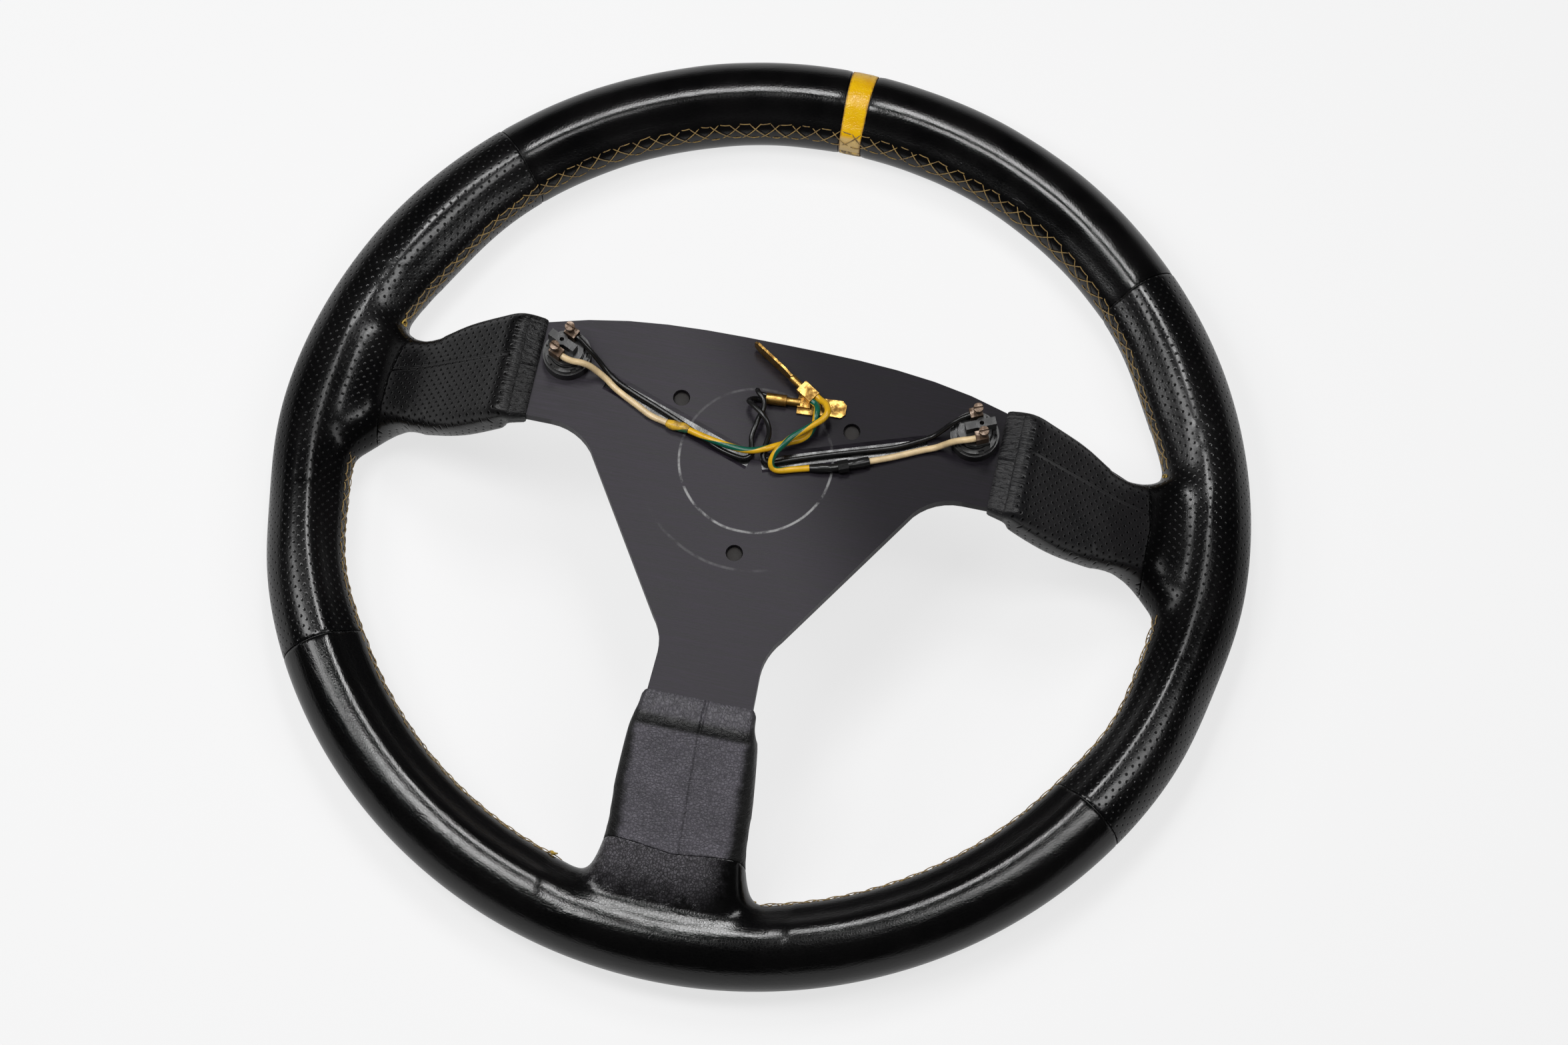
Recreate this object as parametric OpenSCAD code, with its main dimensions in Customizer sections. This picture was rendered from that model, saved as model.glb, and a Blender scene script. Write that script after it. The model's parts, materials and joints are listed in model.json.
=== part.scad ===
// Dished three-spoke car steering wheel with two horn buttons, lying face down.
// Origin: hub centre on the plate's rear face. +Z points to the steering column, +Y to 12 o'clock.

/* [Rim] */
// Outside diameter of the rim over the leather
rim_d = 350; // [340:1:360]
// Thickness of the rim over the leather
grip_d = 30; // [28:0.5:32]
// Drop from the hub's rear face to the rim's centre plane
dish = 55; // [52:0.5:58]
// Diameter of the hoop tube inside the rim
hoop_d = 12; // [10:0.5:14]
// Wall of the hoop tube
hoop_wall = 1.5; // [1:0.25:2.5]
// Width of the yellow centre marker, measured along the rim
marker_w = 9; // [6:0.5:14]
// Angle from the horizontal to the seam above each grip
upper_seam = 44.5; // [40:0.5:50]
// Angle from the horizontal to the seam below each grip
lower_seam = 31; // [28:0.5:36]
// Angle by which the leather was sewn on off centre
leather_turn = -0.9; // [-2:0.1:2]

/* [Leather and foam] */
// Thickness of the leather
leather_t = 1.2; // [0.9:0.1:1.5]
// Gap filled by glue under the leather and round the metal
glue_gap = 0.15; // [0.1:0.05:0.3]
// Inward thumb swell of each grip above the side spoke
thumb_swell = 1.6; // [0:0.2:2.4]
// Depth of the finger waist of each grip below the side spoke
finger_waist = 1.8; // [0:0.2:2.6]

/* [Spoke plate] */
// Thickness of the plate
plate_t = 4.5; // [3.5:0.5:5.5]
// Height of the plate's top edge above the hub centre
hub_top = 44.5; // [40:0.5:48]
// Width of each side arm where the leather starts
side_arm_w = 35.5; // [32:0.5:38]
// Width of the bottom arm where the leather starts
low_arm_w = 37; // [33:0.5:40]
// Length of each side spoke's leather, from its edge on the plate to the rim's centre line
side_run = 78; // [77:0.5:80]
// Length of the bottom spoke's leather, from its edge on the plate to the rim's centre line
low_run = 70; // [69:0.5:72]
// Distance from the rim's centre line to the seam across each side spoke
side_seam_in = 22; // [18:0.5:26]
// Distance from the rim's centre line to the seam across the bottom spoke
low_seam_in = 24; // [18:0.5:26]
// Width of the flat leather band before the arms bend
wrap_band = 5.5; // [4.5:0.5:7]
// Bend angle of the arms
bend_a = 45; // [42:1:48]
// Radius inside the bends
bend_r = 3; // [2:0.5:5]
// Radius of the hollow between a side arm and the hub
hollow_r = 20; // [14:1:24]
// Width and depth of the wiring channels
channel_w = 7; // [5:0.5:8]
// Depth of the wiring channels
channel_deep = 1.6; // [1:0.1:2]

/* [Hub mount] */
// Bolt circle of the hub
bolt_pcd = 70; // [68:0.5:74]
// Diameter of the hub bolt holes
bolt_d = 6; // [5:0.1:7]

/* [Horn buttons] */
// Distance from each button's axis to the edge of the leather
button_in = 9.5; // [9.5:0.5:12]
// Height of the buttons' axes above the hub centre
button_y = 23.75; // [20:0.25:25]
// Diameter of the threaded barrel
barrel_d = 12; // [11:0.5:13]
// Clearance of the barrel in the plate and in the nut
barrel_gap = 0.2; // [0.1:0.05:0.3]
// Diameter of the ring nut
nut_d = 17; // [16:0.5:18]
// Height of the ring nut
nut_h = 6; // [4:0.5:6.2]
// Diameter of the bezel on the driver's side
bezel_d = 18; // [17:0.5:18.5]
// Diameter of the push cap
cap_d = 12.2; // [11:0.2:12.8]
// Height of the push cap above its bezel
cap_proud = 2.5; // [1.5:0.25:4]
// Travel of the push cap
travel = 1.4; // [1:0.1:1.6]
// Wire diameter of the return spring
spring_wire = 0.8; // [0.6:0.05:0.9]

/* [Wiring] */
// Diameter of the black leads
black_d = 1.8; // [1.6:0.1:1.8]
// Diameter of the cream and the earth leads
earth_d = 2.3; // [2:0.1:2.3]
// Width of the brass blades
blade_w = 6.3; // [6:0.1:6.4]
// Thickness of the brass blades
blade_t = 0.8; // [0.6:0.1:1]

/* [Hidden] */

$fn = 64;
leather_black = [0.07, 0.07, 0.075];
foam_grey = [0.25, 0.24, 0.22];
anodised = [0.16, 0.16, 0.17];
brass = [0.8, 0.63, 0.25];
wire_black = [0.04, 0.04, 0.04];
wire_cream = [0.85, 0.75, 0.45];
wire_yellow = [0.9, 0.75, 0.1];

// Rim: a tube of radius grip_r swept on a circle of radius rim_r at height -dish
grip_r = grip_d / 2;
rim_r = rim_d / 2 - grip_r;
ring_step = 6;
tube_sides = 16;
top_seam_r = upper_seam + leather_turn;
top_seam_l = 180 - upper_seam + leather_turn;
low_seam_r = 360 - lower_seam + leather_turn;
low_seam_l = 180 + lower_seam + leather_turn;
marker_at = 90 + leather_turn;
marker_half = marker_w / 2 / rim_r * 180 / PI;

// Grip forms: places of the thumb swell, finger waist and palm hollow, from the horizontal
swell_at = 31;
waist_at = -10;
palm_at = -20;
form_spread = 8;

// Sheet metal: the arms leave the hub's level at bend_at and run level again in the rim
side_wrap = rim_r - side_run;
low_wrap = rim_r - low_run;
side_seam = rim_r - side_seam_in;
low_seam = rim_r - low_seam_in;
side_bend = side_wrap + wrap_band;
low_bend = low_wrap + wrap_band;
arm_end_r = rim_r - hoop_d / 2 - glue_gap;
arm_taper = 4;

// Padding on the spokes: thickness of the leather and glue, and play under the faceted rim
skin = leather_t + glue_gap;
core_play = rim_r * (1 - cos(ring_step / 2));
// Stations along a spoke, from the bend outwards
pad_steps = [-0.4, 3, 7, 20, 33, 42, 50, 58];
// Padding beyond the arm's edge at each station along a spoke
side_padding = [0, 0.3, 0.4, 0.4, 0.2, 0.1, 1.4, 5.9, 13.9, 14.9];
low_padding = [0, 0.5, 1.5, 2.7, 4.2, 5, 6.7, 11.2, 18.2, 20.2];

// Horn button levels on the driver's side of the plate
flange_d = 16;
flange_t = 1;
bezel_wall = 0.8;
cap_flange_t = 1;
cap_flange_d = cap_d + 1.8;
cap_gap = 0.3;
cap_stem_d = 5;
flange_z = -plate_t - flange_t;
recess = travel + cap_flange_t + 0.3;
lip_z = flange_z - recess;
bezel_z = lip_z - bezel_wall;
cap_back = lip_z + 0.1 + cap_flange_t;
cap_front = bezel_z - cap_proud;
nut_step = 1.4;
notch_deep = 1;
barrel_bore = barrel_d - 2.4;
barrel_top = nut_h + 0.6;
plug_z = barrel_top - 4.6;
spring_r = barrel_bore / 2 - spring_wire / 2 - 0.3;
spring_turns = 4;

// Terminal block: local axes turned so that the clamps face the hub
block_x = 1.3;
block_y = 1.5;
block_turn = 24.5;
base_h = 1.5;
wall_h = 3.9;
clamp_gap = 4.4;
clamp_w = 4.2;
clamp_l = 4.4;
clamp_h = 4;
slot_w = 2.5;
slot_h = 2.5;
slot_z = 0.6;
screw_d = 3.4;
shank_d = 2;
screw_lift = 2.1;
head_h = 1.7;

// Wiring channel: a shallow V on each side, rising outwards
button_x = side_wrap - button_in;
channel_from = [2, -0.6];
channel_to = [button_x - 15.5, button_y - 5.35];
sealant_level = 0.6;

// Centre lines of the leads, laid by hand
left_black_path = [
    [-70.8, 28.7, 10], [-68.7, 27.7, 9.9], [-66, 26, 8.6], [-63.5, 24.6, 7], [-61, 23.2, 4.4],
    [-57.8, 21.1, 2], [-53.2, 18.2, 1.1], [-46, 15.2, 0.5], [-36.7, 11.6, 0.4],
    [-26.2, 7.2, 0.4], [-14.6, 1.8, 0.9],
    [-8.2, -0.1, 1.1], [-4, -0.4, 1.1], [-1.8, 1.4, 1.8], [-2.4, 4.2, 3], [-3, 6.8, 4],
    [-2.5, 10.6, 5], [-2, 13.7, 5.2], [-1.1, 17.4, 5.4], [-1.5, 20.4, 5.6], [-3.6, 22.6, 5.6],
    [-4.6, 24, 4.6], [-3.6, 23.5, 3.2], [-1.4, 23.4, 3]
];
right_black_path = [
    [70.8, 28.7, 10], [68.7, 27.7, 9.9], [66.4, 26.4, 8.6], [64, 24.9, 6.9], [61.5, 23.2, 4.2],
    [58.5, 21.2, 1.7], [54, 18.6, 1], [46, 14.6, 0.5], [36.8, 11.4, 0.4],
    [25.8, 7.7, 0.4], [14.8, 3.7, 0.4],
    [8.5, 1.2, 0.5], [4.4, -0.4, 1], [2.4, 1, 1.6], [2.2, 4.4, 2.8], [2.8, 8.8, 5.2],
    [1.3, 12.3, 7.2], [-1.4, 14.9, 7.8], [-4.9, 17.6, 6.8], [-6.7, 19.6, 4.6], [-5.4, 21.6, 2.4],
    [-3.4, 22, 1.6], [-1.3, 22, 1.5]
];
left_cream_path = [
    [-74.4, 20.7, 10], [-72.1, 19.7, 9.9], [-69.4, 19.3, 9.5], [-66.5, 19.6, 8.8], [-63.4, 19.7, 6.9],
    [-60.4, 19.3, 3.8], [-57.1, 18, 1.9], [-52.5, 15, 1.3], [-44, 10.6, 1.3],
    [-39, 8.1, 1.4], [-33.2, 6.6, 1.9]
];
left_splice_path = [
    [-33.1, 6.57, 1.9], [-31, 6.05, 2.1], [-28.6, 5.9, 2.3], [-26.8, 5.7, 2.6], [-25, 5.2, 2.8]
];
left_earth_path = [
    [-24.9, 5.17, 2.8], [-18.7, 3.5, 3.4], [-12.1, 2.2, 3.9], [-5.6, 1.4, 4.3], [-1.4, 1.7, 4.7],
    [2.5, 3, 5.2], [6.2, 5.3, 4.2], [9.9, 7.7, 3.3], [13.7, 9.7, 3], [16.2, 12, 3.4],
    [17.4, 15.6, 4.8], [17.4, 18.6, 6], [17.2, 21.2, 5.6], [16.5, 23, 4.35], [14.78, 24.11, 4.2]
];
right_cream_path = [
    [74.4, 20.7, 10], [72.1, 19.7, 9.9], [69.2, 18.9, 9.4], [66, 18.4, 7.4], [63, 17.9, 4.2],
    [60, 17, 1.9], [55, 15, 1.3], [46, 10.6, 1.3], [38.6, 7.3, 1.7]
];
right_sleeve_path = [
    [38.5, 7.25, 1.7], [34.5, 5.2, 2.2], [31.9, 4, 2.6], [28.5, 2.6, 2.6], [25, 1.6, 2.2], [19, 0.5, 1.7]
];
right_earth_path = [
    [18.9, 0.48, 1.7], [13.9, -0.9, 1.4], [8.8, -2.5, 1.6], [6.4, -2.3, 2.4], [5.6, -0.6, 3.8],
    [6.4, 2, 5.6], [8.5, 5, 6.9], [11, 8.4, 7.2], [14.5, 12, 6.8], [17.7, 14.8, 7.3],
    [20.2, 17.2, 7.8], [21.2, 20, 7.9], [19.9, 23.3, 6.2], [17.9, 24.95, 4.5], [16.07, 26.12, 4.2]
];
flat_spade_at = [-1.2, 22.7];
flat_spade_turn = 4;
upright_spade_at = [15.3, 25.2];
upright_spade_turn = 147;
crimp_z = 4.2;
sleeve_d = 3;
collar_d = 4.8;

// Small helpers for points
function unit(v) = v / norm(v);
function bell(x, spread) = exp(-pow(x / spread, 2));

// Closed solid through rings of equally many points, each ring facing the next one
module loft(rings) {
    n = len(rings[0]);
    last = (len(rings) - 1) * n;
    skin = [
        for (i = [0:len(rings) - 2], j = [0:n - 1])
            let (a = i * n + j, b = i * n + (j + 1) % n)
            each [[a, a + n, b + n], [a, b + n, b]]
    ];
    caps = [[for (j = [0:n - 1]) j], [for (j = [0:n - 1]) last + n - 1 - j]];
    polyhedron([for (r = rings) each r], concat(skin, caps), convexity = 6);
}

// Closed ring through rings of equally many points
module loft_ring(rings) {
    n = len(rings[0]);
    m = len(rings);
    skin = [
        for (i = [0:m - 1], j = [0:n - 1])
            let (a = i * n + j, b = i * n + (j + 1) % n, c = ((i + 1) % m) * n)
            each [[a, c + j, c + (j + 1) % n], [a, c + (j + 1) % n, b]]
    ];
    polyhedron([for (r = rings) each r], skin, convexity = 10);
}

// Round tube along a path, its end faces square to the path
function path_dir(path, i) = unit(path[min(i + 1, len(path) - 1)] - path[max(i - 1, 0)]);
function tube_ring(p, dir, r, sides) =
    let (side = unit(cross(dir, [0, 0, 1])), up = cross(side, dir))
    [for (k = [0:sides - 1]) p + r * (cos(-360 * k / sides) * side + sin(-360 * k / sides) * up)];
module tube(path, radii, sides = 8) {
    loft([for (i = [0:len(path) - 1]) tube_ring(path[i], path_dir(path, i), radii[i], sides)]);
}
module lead(path, d, paint) {
    color(paint)
        tube(path, [for (p = path) d / 2]);
}

// Radius of the rim tube at wheel angle a and section angle s (0 outwards, 90 to the rear, 180 inwards)
function rim_tube_r(a, s) =
    let (h = asin(sin(a)),
         swell = thumb_swell * bell(h - swell_at, form_spread) * pow(max(0, cos((s - 150) / 1.6)), 2),
         waist = finger_waist * bell(h - waist_at, form_spread) * pow(max(0, cos(s - 20)), 2),
         palm = finger_waist * bell(h - palm_at, form_spread) * pow(max(0, cos(s - 180)), 2))
    grip_r + swell - waist - palm;
function rim_ring(a, inset) = [
    for (k = [0:tube_sides - 1])
        let (s = 360 - 360 * k / tube_sides, r = rim_tube_r(a, s) - inset, out = rim_r + r * cos(s))
        [out * cos(a), out * sin(a), -dish + r * sin(s)]
];
module rim_sector(from, to, inset) {
    first = ceil(from / ring_step + 0.2);
    last = floor(to / ring_step - 0.2);
    loft([
        rim_ring(from, inset),
        for (i = [first:last]) rim_ring(i * ring_step, inset),
        rim_ring(to, inset)
    ]);
}
// Plain round stretch of the rim, as a true torus sector
module torus_sector(from, to, r) {
    translate([0, 0, -dish])
        rotate([0, 0, from])
            rotate_extrude(angle = to - from, $fn = 120)
                translate([rim_r, 0])
                    circle(r = r, $fn = 48);
}
module smooth_shell(from, to) {
    difference() {
        torus_sector(from, to, grip_r);
        torus_sector(from - 1, to + 1, grip_r - leather_t);
    }
}

// Side view of a bent arm: distance from the hub centre and height, offset down by off
function bend_line(bend_at, off) =
    let (t = plate_t,
         level = -dish + t / 2,
         c1 = [bend_at, -(t + bend_r)],
         drop = (c1[1] + (t + bend_r) * cos(bend_a)) - (level + bend_r - bend_r * cos(bend_a)),
         run = drop / sin(bend_a),
         c2 = [bend_at + (t + 2 * bend_r) * sin(bend_a) + run * cos(bend_a), level + bend_r])
    concat(
        [[-1, -off]],
        [for (k = [0:4]) c1 + (t + bend_r - off) * [sin(bend_a * k / 4), cos(bend_a * k / 4)]],
        [for (k = [4:-1:0]) c2 + (bend_r + off) * [-sin(bend_a * k / 4), -cos(bend_a * k / 4)]],
        [[rim_r, level - off]]
    );
function reverse(list) = [for (i = [len(list) - 1:-1:0]) list[i]];
module bent_sheet(bend_at, width, grow) {
    rotate([90, 0, 0])
        linear_extrude(width, center = true)
            polygon(concat(bend_line(bend_at, -grow), reverse(bend_line(bend_at, plate_t + grow))));
}
// Where the middle of the sheet lies at distance u from the hub centre, past the bend
function slope_z(bend_at, u) =
    let (past = u - bend_at - (plate_t / 2 + bend_r) * tan(bend_a / 2))
    -plate_t / 2 - past * tan(bend_a);

// Outline of the hub and arms seen along Z, right half, from the top middle clockwise
function top_edge(x) = hub_top - (hub_top - side_arm_w) * pow(x / side_wrap, 3);
hollow_in = 9;
hollow_at = [side_wrap - hollow_in, -hollow_r];
diagonal_a = 51.5;
neck_r = 22;
neck_in = 14;
neck_at = [low_arm_w / 2 - 0.5 + neck_r, neck_in - low_wrap];
function half_outline(g) = concat(
    [for (k = [0:6]) [side_wrap * k / 6, top_edge(side_wrap * k / 6) + g]],
    [[side_bend, side_arm_w + g], [rim_r, side_arm_w - arm_taper + g]],
    [[rim_r, arm_taper - g], [side_bend, -g]],
    [for (k = [0:6])
        let (a = 90 + diagonal_a * k / 6)
        hollow_at + (hollow_r - g) * [cos(a), sin(a)]],
    [for (k = [0:6])
        let (a = 90 + diagonal_a + (180 - 90 - diagonal_a) * k / 6)
        neck_at + (neck_r - g) * [cos(a), sin(a)]],
    [[low_arm_w / 2 + g, -low_wrap], [low_arm_w / 2 + g, -low_bend]],
    [[low_arm_w / 2 - arm_taper / 2 + g, -rim_r]]
);
function mirror_x(list) = [for (p = list) [-p[0], p[1]]];
module plate_outline(g) {
    half = half_outline(g);
    polygon(concat(half, reverse(mirror_x([for (i = [1:len(half) - 1]) half[i]]))));
}
side_part_y = neck_at[1] + 0.75 * neck_r;
module bent_plate(g) {
    tall = 3 * dish;
    wide = 2 * rim_d;
    intersection() {
        translate([0, 0, -tall / 2])
            linear_extrude(tall)
                plate_outline(g);
        union() {
            intersection() {
                union() {
                    bent_sheet(side_bend, wide, g);
                    mirror([1, 0, 0])
                        bent_sheet(side_bend, wide, g);
                }
                translate([-wide / 2, side_part_y, -tall / 2])
                    cube([wide, wide, tall]);
            }
            intersection() {
                rotate([0, 0, -90])
                    bent_sheet(low_bend, wide, g);
                translate([-wide / 2, side_part_y + 1 - wide, -tall / 2])
                    cube([wide, wide, tall]);
            }
        }
        cylinder(r = arm_end_r + (g > 0 ? 1 : 0), h = tall, center = true, $fn = 180);
    }
}

// Sections of a padded spoke: distance out, height, tilt, half width, half thickness, corner radius
function pad_stations(wrap, bend, arm_half, padding) =
    let (u = [for (step = pad_steps) bend + step], half = [for (p = padding) arm_half + p])
    [
        [wrap, -plate_t / 2, 0, half[0], plate_t / 2, 0.6],
        [u[0], -plate_t / 2, 0, half[1], plate_t / 2 + 0.5, 0.8],
        [u[1], slope_z(bend, u[1]) - 0.2, 20, half[2], plate_t / 2 + 2.3, 2.4],
        [u[2], slope_z(bend, u[2]) - 0.2, bend_a, half[3], plate_t / 2 + 2.6, 2.8],
        [u[3], slope_z(bend, u[3]), bend_a, half[4], plate_t / 2 + 3, 4],
        [u[4], slope_z(bend, u[4]), bend_a, half[5], plate_t / 2 + 3.7, 5],
        [u[5], slope_z(bend, u[5] - 1), bend_a - 5, half[6], grip_r / 2, 6],
        [u[6], -dish + grip_r * 0.3, bend_a - 20, half[7], grip_r * 0.63, 8],
        [u[7], -dish + 1, 5, half[8], grip_r * 0.73, 10],
        [rim_r, -dish, 0, half[9], grip_r * 0.76, 10.5]
    ];
corner_steps = 4;
function pad_ring(st, mid, grow) =
    let (hw = st[3] + grow, ht = st[4] + grow, c = min(st[5] + grow, ht - 0.05),
         n = [sin(st[2]), 0, cos(st[2])])
    [
        for (q = [0:3], k = [0:corner_steps])
            let (a = 90 * q + 90 * k / corner_steps,
                 cy = (q == 0 || q == 3 ? 1 : -1) * (hw - c),
                 ct = (q < 2 ? 1 : -1) * (ht - c),
                 y = cy + c * cos(a),
                 t = ct + c * sin(a))
            [st[0], mid + y, st[1]] + t * n
    ];
module pad(stations, mid, grow, first = 0) {
    loft([for (i = [first:len(stations) - 1]) pad_ring(stations[i], mid, grow)]);
}
side_stations = pad_stations(side_wrap, side_bend, side_arm_w / 2, side_padding);
low_stations = pad_stations(low_wrap, low_bend, low_arm_w / 2, low_padding);
side_mid = side_arm_w / 2;

module spoke_places(side) {
    if (side == "right")
        children();
    if (side == "left")
        mirror([1, 0, 0])
            children();
    if (side == "bottom")
        rotate([0, 0, -90])
            children();
}
module spoke_pad(side, grow, first) {
    spoke_places(side)
        if (side == "bottom")
            pad(low_stations, 0, grow, first);
        else
            pad(side_stations, side_mid, grow, first);
}

// Sub-parts of the structure
module spoke_plate() {
    color(anodised)
        difference() {
            bent_plate(0);
            for (a = [30, 150, 270])
                rotate([0, 0, a])
                    translate([bolt_pcd / 2, 0, 0])
                        cylinder(d = bolt_d, h = 4 * plate_t, center = true);
            for (side = [-1, 1])
                translate([side * button_x, button_y, 0])
                    cylinder(d = barrel_d + 2 * barrel_gap, h = 4 * plate_t, center = true);
            channel_cut(0);
            mirror([1, 0, 0])
                channel_cut(0);
        }
}
module channel_cut(g) {
    run = channel_to - channel_from;
    translate([channel_from[0], channel_from[1], 0])
        rotate([0, 0, atan2(run[1], run[0])])
            rotate([90, 0, 90])
                linear_extrude(norm(run))
                    polygon([
                        [-channel_w / 2 + g, 0.001 - g], [0, -channel_deep + g],
                        [channel_w / 2 - g, 0.001 - g], [channel_w / 2 - g, 1], [-channel_w / 2 + g, 1]
                    ]);
}
module channel_sealant() {
    color([0.03, 0.03, 0.03])
        difference() {
            channel_cut(0.1);
            translate([-10, -10, -sealant_level])
                cube([100, 60, 10]);
        }
}
module rim_hoop() {
    color("silver")
        translate([0, 0, -dish])
            rotate_extrude($fn = 180)
                translate([rim_r, 0])
                    difference() {
                        circle(d = hoop_d, $fn = 32);
                        circle(d = hoop_d - 2 * hoop_wall, $fn = 32);
                    }
}
module foam_core() {
    color(foam_grey)
        difference() {
            union() {
                loft_ring([for (a = [0:ring_step:359]) rim_ring(a, skin + core_play)]);
                for (side = ["left", "right", "bottom"])
                    spoke_pad(side, 0, 1);
            }
            bent_plate(glue_gap);
            translate([0, 0, -dish])
                rotate_extrude($fn = 120)
                    translate([rim_r, 0])
                        circle(d = hoop_d + 2 * glue_gap, $fn = 32);
        }
}

// Leather: the rim's pieces run a little way up the spokes, to the seam with the sleeves
module top_leather(from, to) {
    color(leather_black)
        smooth_shell(from, to);
}
module centre_marker() {
    color("gold")
        smooth_shell(marker_at - marker_half, marker_at + marker_half);
}
module past_seam(side, at) {
    spoke_places(side)
        translate([at, -rim_r, -2 * dish])
            cube([rim_r, 2 * rim_r, 3 * dish]);
}
module left_grip_leather() {
    grip_leather("left", top_seam_l, low_seam_l);
}
module right_grip_leather() {
    grip_leather("right", low_seam_r - 360, top_seam_r);
}
module grip_leather(side, from, to) {
    color(leather_black)
        difference() {
            union() {
                rim_sector(from, to, 0);
                intersection() {
                    spoke_pad(side, skin, 5);
                    past_seam(side, side_seam + glue_gap);
                }
            }
            rim_sector(from - 1, to + 1, leather_t);
            spoke_pad(side, glue_gap, 5);
        }
}
module bottom_leather() {
    color(leather_black)
        difference() {
            union() {
                torus_sector(low_seam_l, low_seam_r, grip_r);
                intersection() {
                    spoke_pad("bottom", skin, 5);
                    past_seam("bottom", low_seam + glue_gap);
                }
            }
            torus_sector(low_seam_l - 1, low_seam_r + 1, grip_r - leather_t);
            spoke_pad("bottom", glue_gap, 5);
        }
}
module spoke_sleeve(side, seam) {
    color(leather_black)
        difference() {
            spoke_pad(side, skin, 0);
            spoke_pad(side, glue_gap, 0);
            past_seam(side, seam);
        }
}

// Horn button, built for the right arm
module at_button() {
    translate([button_x, button_y, 0])
        children();
}
module button_body() {
    color([0.08, 0.08, 0.08])
        at_button()
            difference() {
                union() {
                    translate([0, 0, flange_z])
                        cylinder(d = flange_d, h = flange_t);
                    translate([0, 0, flange_z])
                        cylinder(d = barrel_d, h = barrel_top - flange_z);
                }
                cylinder(d = barrel_bore, h = 100, center = true);
            }
}
module ring_nut() {
    color([0.06, 0.06, 0.06])
        at_button()
            difference() {
                union() {
                    cylinder(d = nut_d, h = nut_h - nut_step);
                    cylinder(d = nut_d - nut_step, h = nut_h);
                }
                cylinder(d = barrel_d + 2 * barrel_gap, h = 3 * nut_h, center = true);
                for (a = [0:60:359])
                    rotate([0, 0, a])
                        translate([nut_d / 2 - 1.6, -1, nut_h - notch_deep])
                            cube([3, 2, 3]);
            }
}
module bezel() {
    color([0.08, 0.08, 0.08])
        at_button()
            difference() {
                translate([0, 0, bezel_z])
                    cylinder(d = bezel_d, h = -plate_t - bezel_z);
                translate([0, 0, flange_z])
                    cylinder(d = flange_d + 0.1, h = 10);
                translate([0, 0, lip_z])
                    cylinder(d = cap_flange_d + 2 * cap_gap, h = 20);
                translate([0, 0, bezel_z - 1])
                    cylinder(d = cap_d + 2 * cap_gap, h = 20);
            }
}
module push_cap() {
    color([0.62, 0.07, 0.05])
        at_button()
            union() {
                translate([0, 0, cap_front])
                    cylinder(d1 = cap_d - 1.2, d2 = cap_d, h = 0.6);
                translate([0, 0, cap_front + 0.6])
                    cylinder(d = cap_d, h = cap_back - cap_front - 0.6);
                translate([0, 0, cap_back - cap_flange_t])
                    cylinder(d = cap_flange_d, h = cap_flange_t);
                translate([0, 0, cap_back - 0.5])
                    cylinder(d = cap_stem_d, h = plug_z - travel - 0.1 - cap_back + 0.5);
            }
}
module return_spring() {
    steps = 10;
    foot = cap_back + 0.05 + spring_wire / 2;
    rise = plug_z - cap_back - spring_wire - 0.1;
    count = spring_turns * steps;
    coil = [
        for (i = [0:count])
            let (a = 360 * i / steps)
            [spring_r * cos(a), spring_r * sin(a), foot + rise * i / count]
    ];
    color("silver")
        at_button()
            tube(coil, [for (p = coil) spring_wire / 2], 6);
}
module terminal_places() {
    at_button()
        translate([block_x, block_y, barrel_top])
            rotate([0, 0, block_turn])
                children();
}
module terminal_block() {
    color([0.05, 0.05, 0.05])
        union() {
            at_button() {
                translate([0, 0, plug_z])
                    cylinder(d = barrel_bore - 0.2, h = barrel_top - plug_z + 0.5);
                translate([0, 0, barrel_top])
                    cylinder(d = barrel_d - 0.4, h = base_h);
            }
            terminal_places()
                difference() {
                    union() {
                        translate([-5, -1.4, 0])
                            cube([10.8, 2.8, base_h + wall_h]);
                        translate([0.8, 0, 0])
                            cylinder(d = 4.2, h = base_h + wall_h);
                        translate([-clamp_l / 2 - 0.2, -clamp_gap - clamp_w / 2, 0])
                            cube([clamp_l + 0.4, 2 * clamp_gap + clamp_w, base_h]);
                    }
                    translate([0.8, 0, base_h + 1])
                        cylinder(d = 1.6, h = 10);
                }
        }
}
clamp_signs = [-1, 1];
module clamp_places() {
    terminal_places()
        for (s = clamp_signs)
            translate([-0.2, s * clamp_gap, base_h])
                children();
}
module wire_clamps() {
    color(brass)
        clamp_places()
            difference() {
                translate([-clamp_l / 2, -clamp_w / 2 + 0.35, 0])
                    cube([clamp_l, clamp_w - 0.7, clamp_h]);
                translate([-clamp_l, -slot_w / 2, slot_z])
                    cube([2 * clamp_l, slot_w, slot_h]);
                translate([0.7, 0, 0])
                    cylinder(d = shank_d + 0.1, h = 3 * clamp_h);
            }
}
module clamp_screws() {
    color([0.75, 0.62, 0.5])
        clamp_places()
            translate([0.7, 0, 0])
                difference() {
                    union() {
                        translate([0, 0, slot_z + slot_h])
                            cylinder(d = shank_d, h = clamp_h + screw_lift - slot_z - slot_h);
                        translate([0, 0, clamp_h + screw_lift])
                            cylinder(d = screw_d, h = head_h);
                    }
                    translate([-3, -0.3, clamp_h + screw_lift + head_h - 0.8])
                        cube([6, 0.6, 2]);
                }
}

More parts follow.
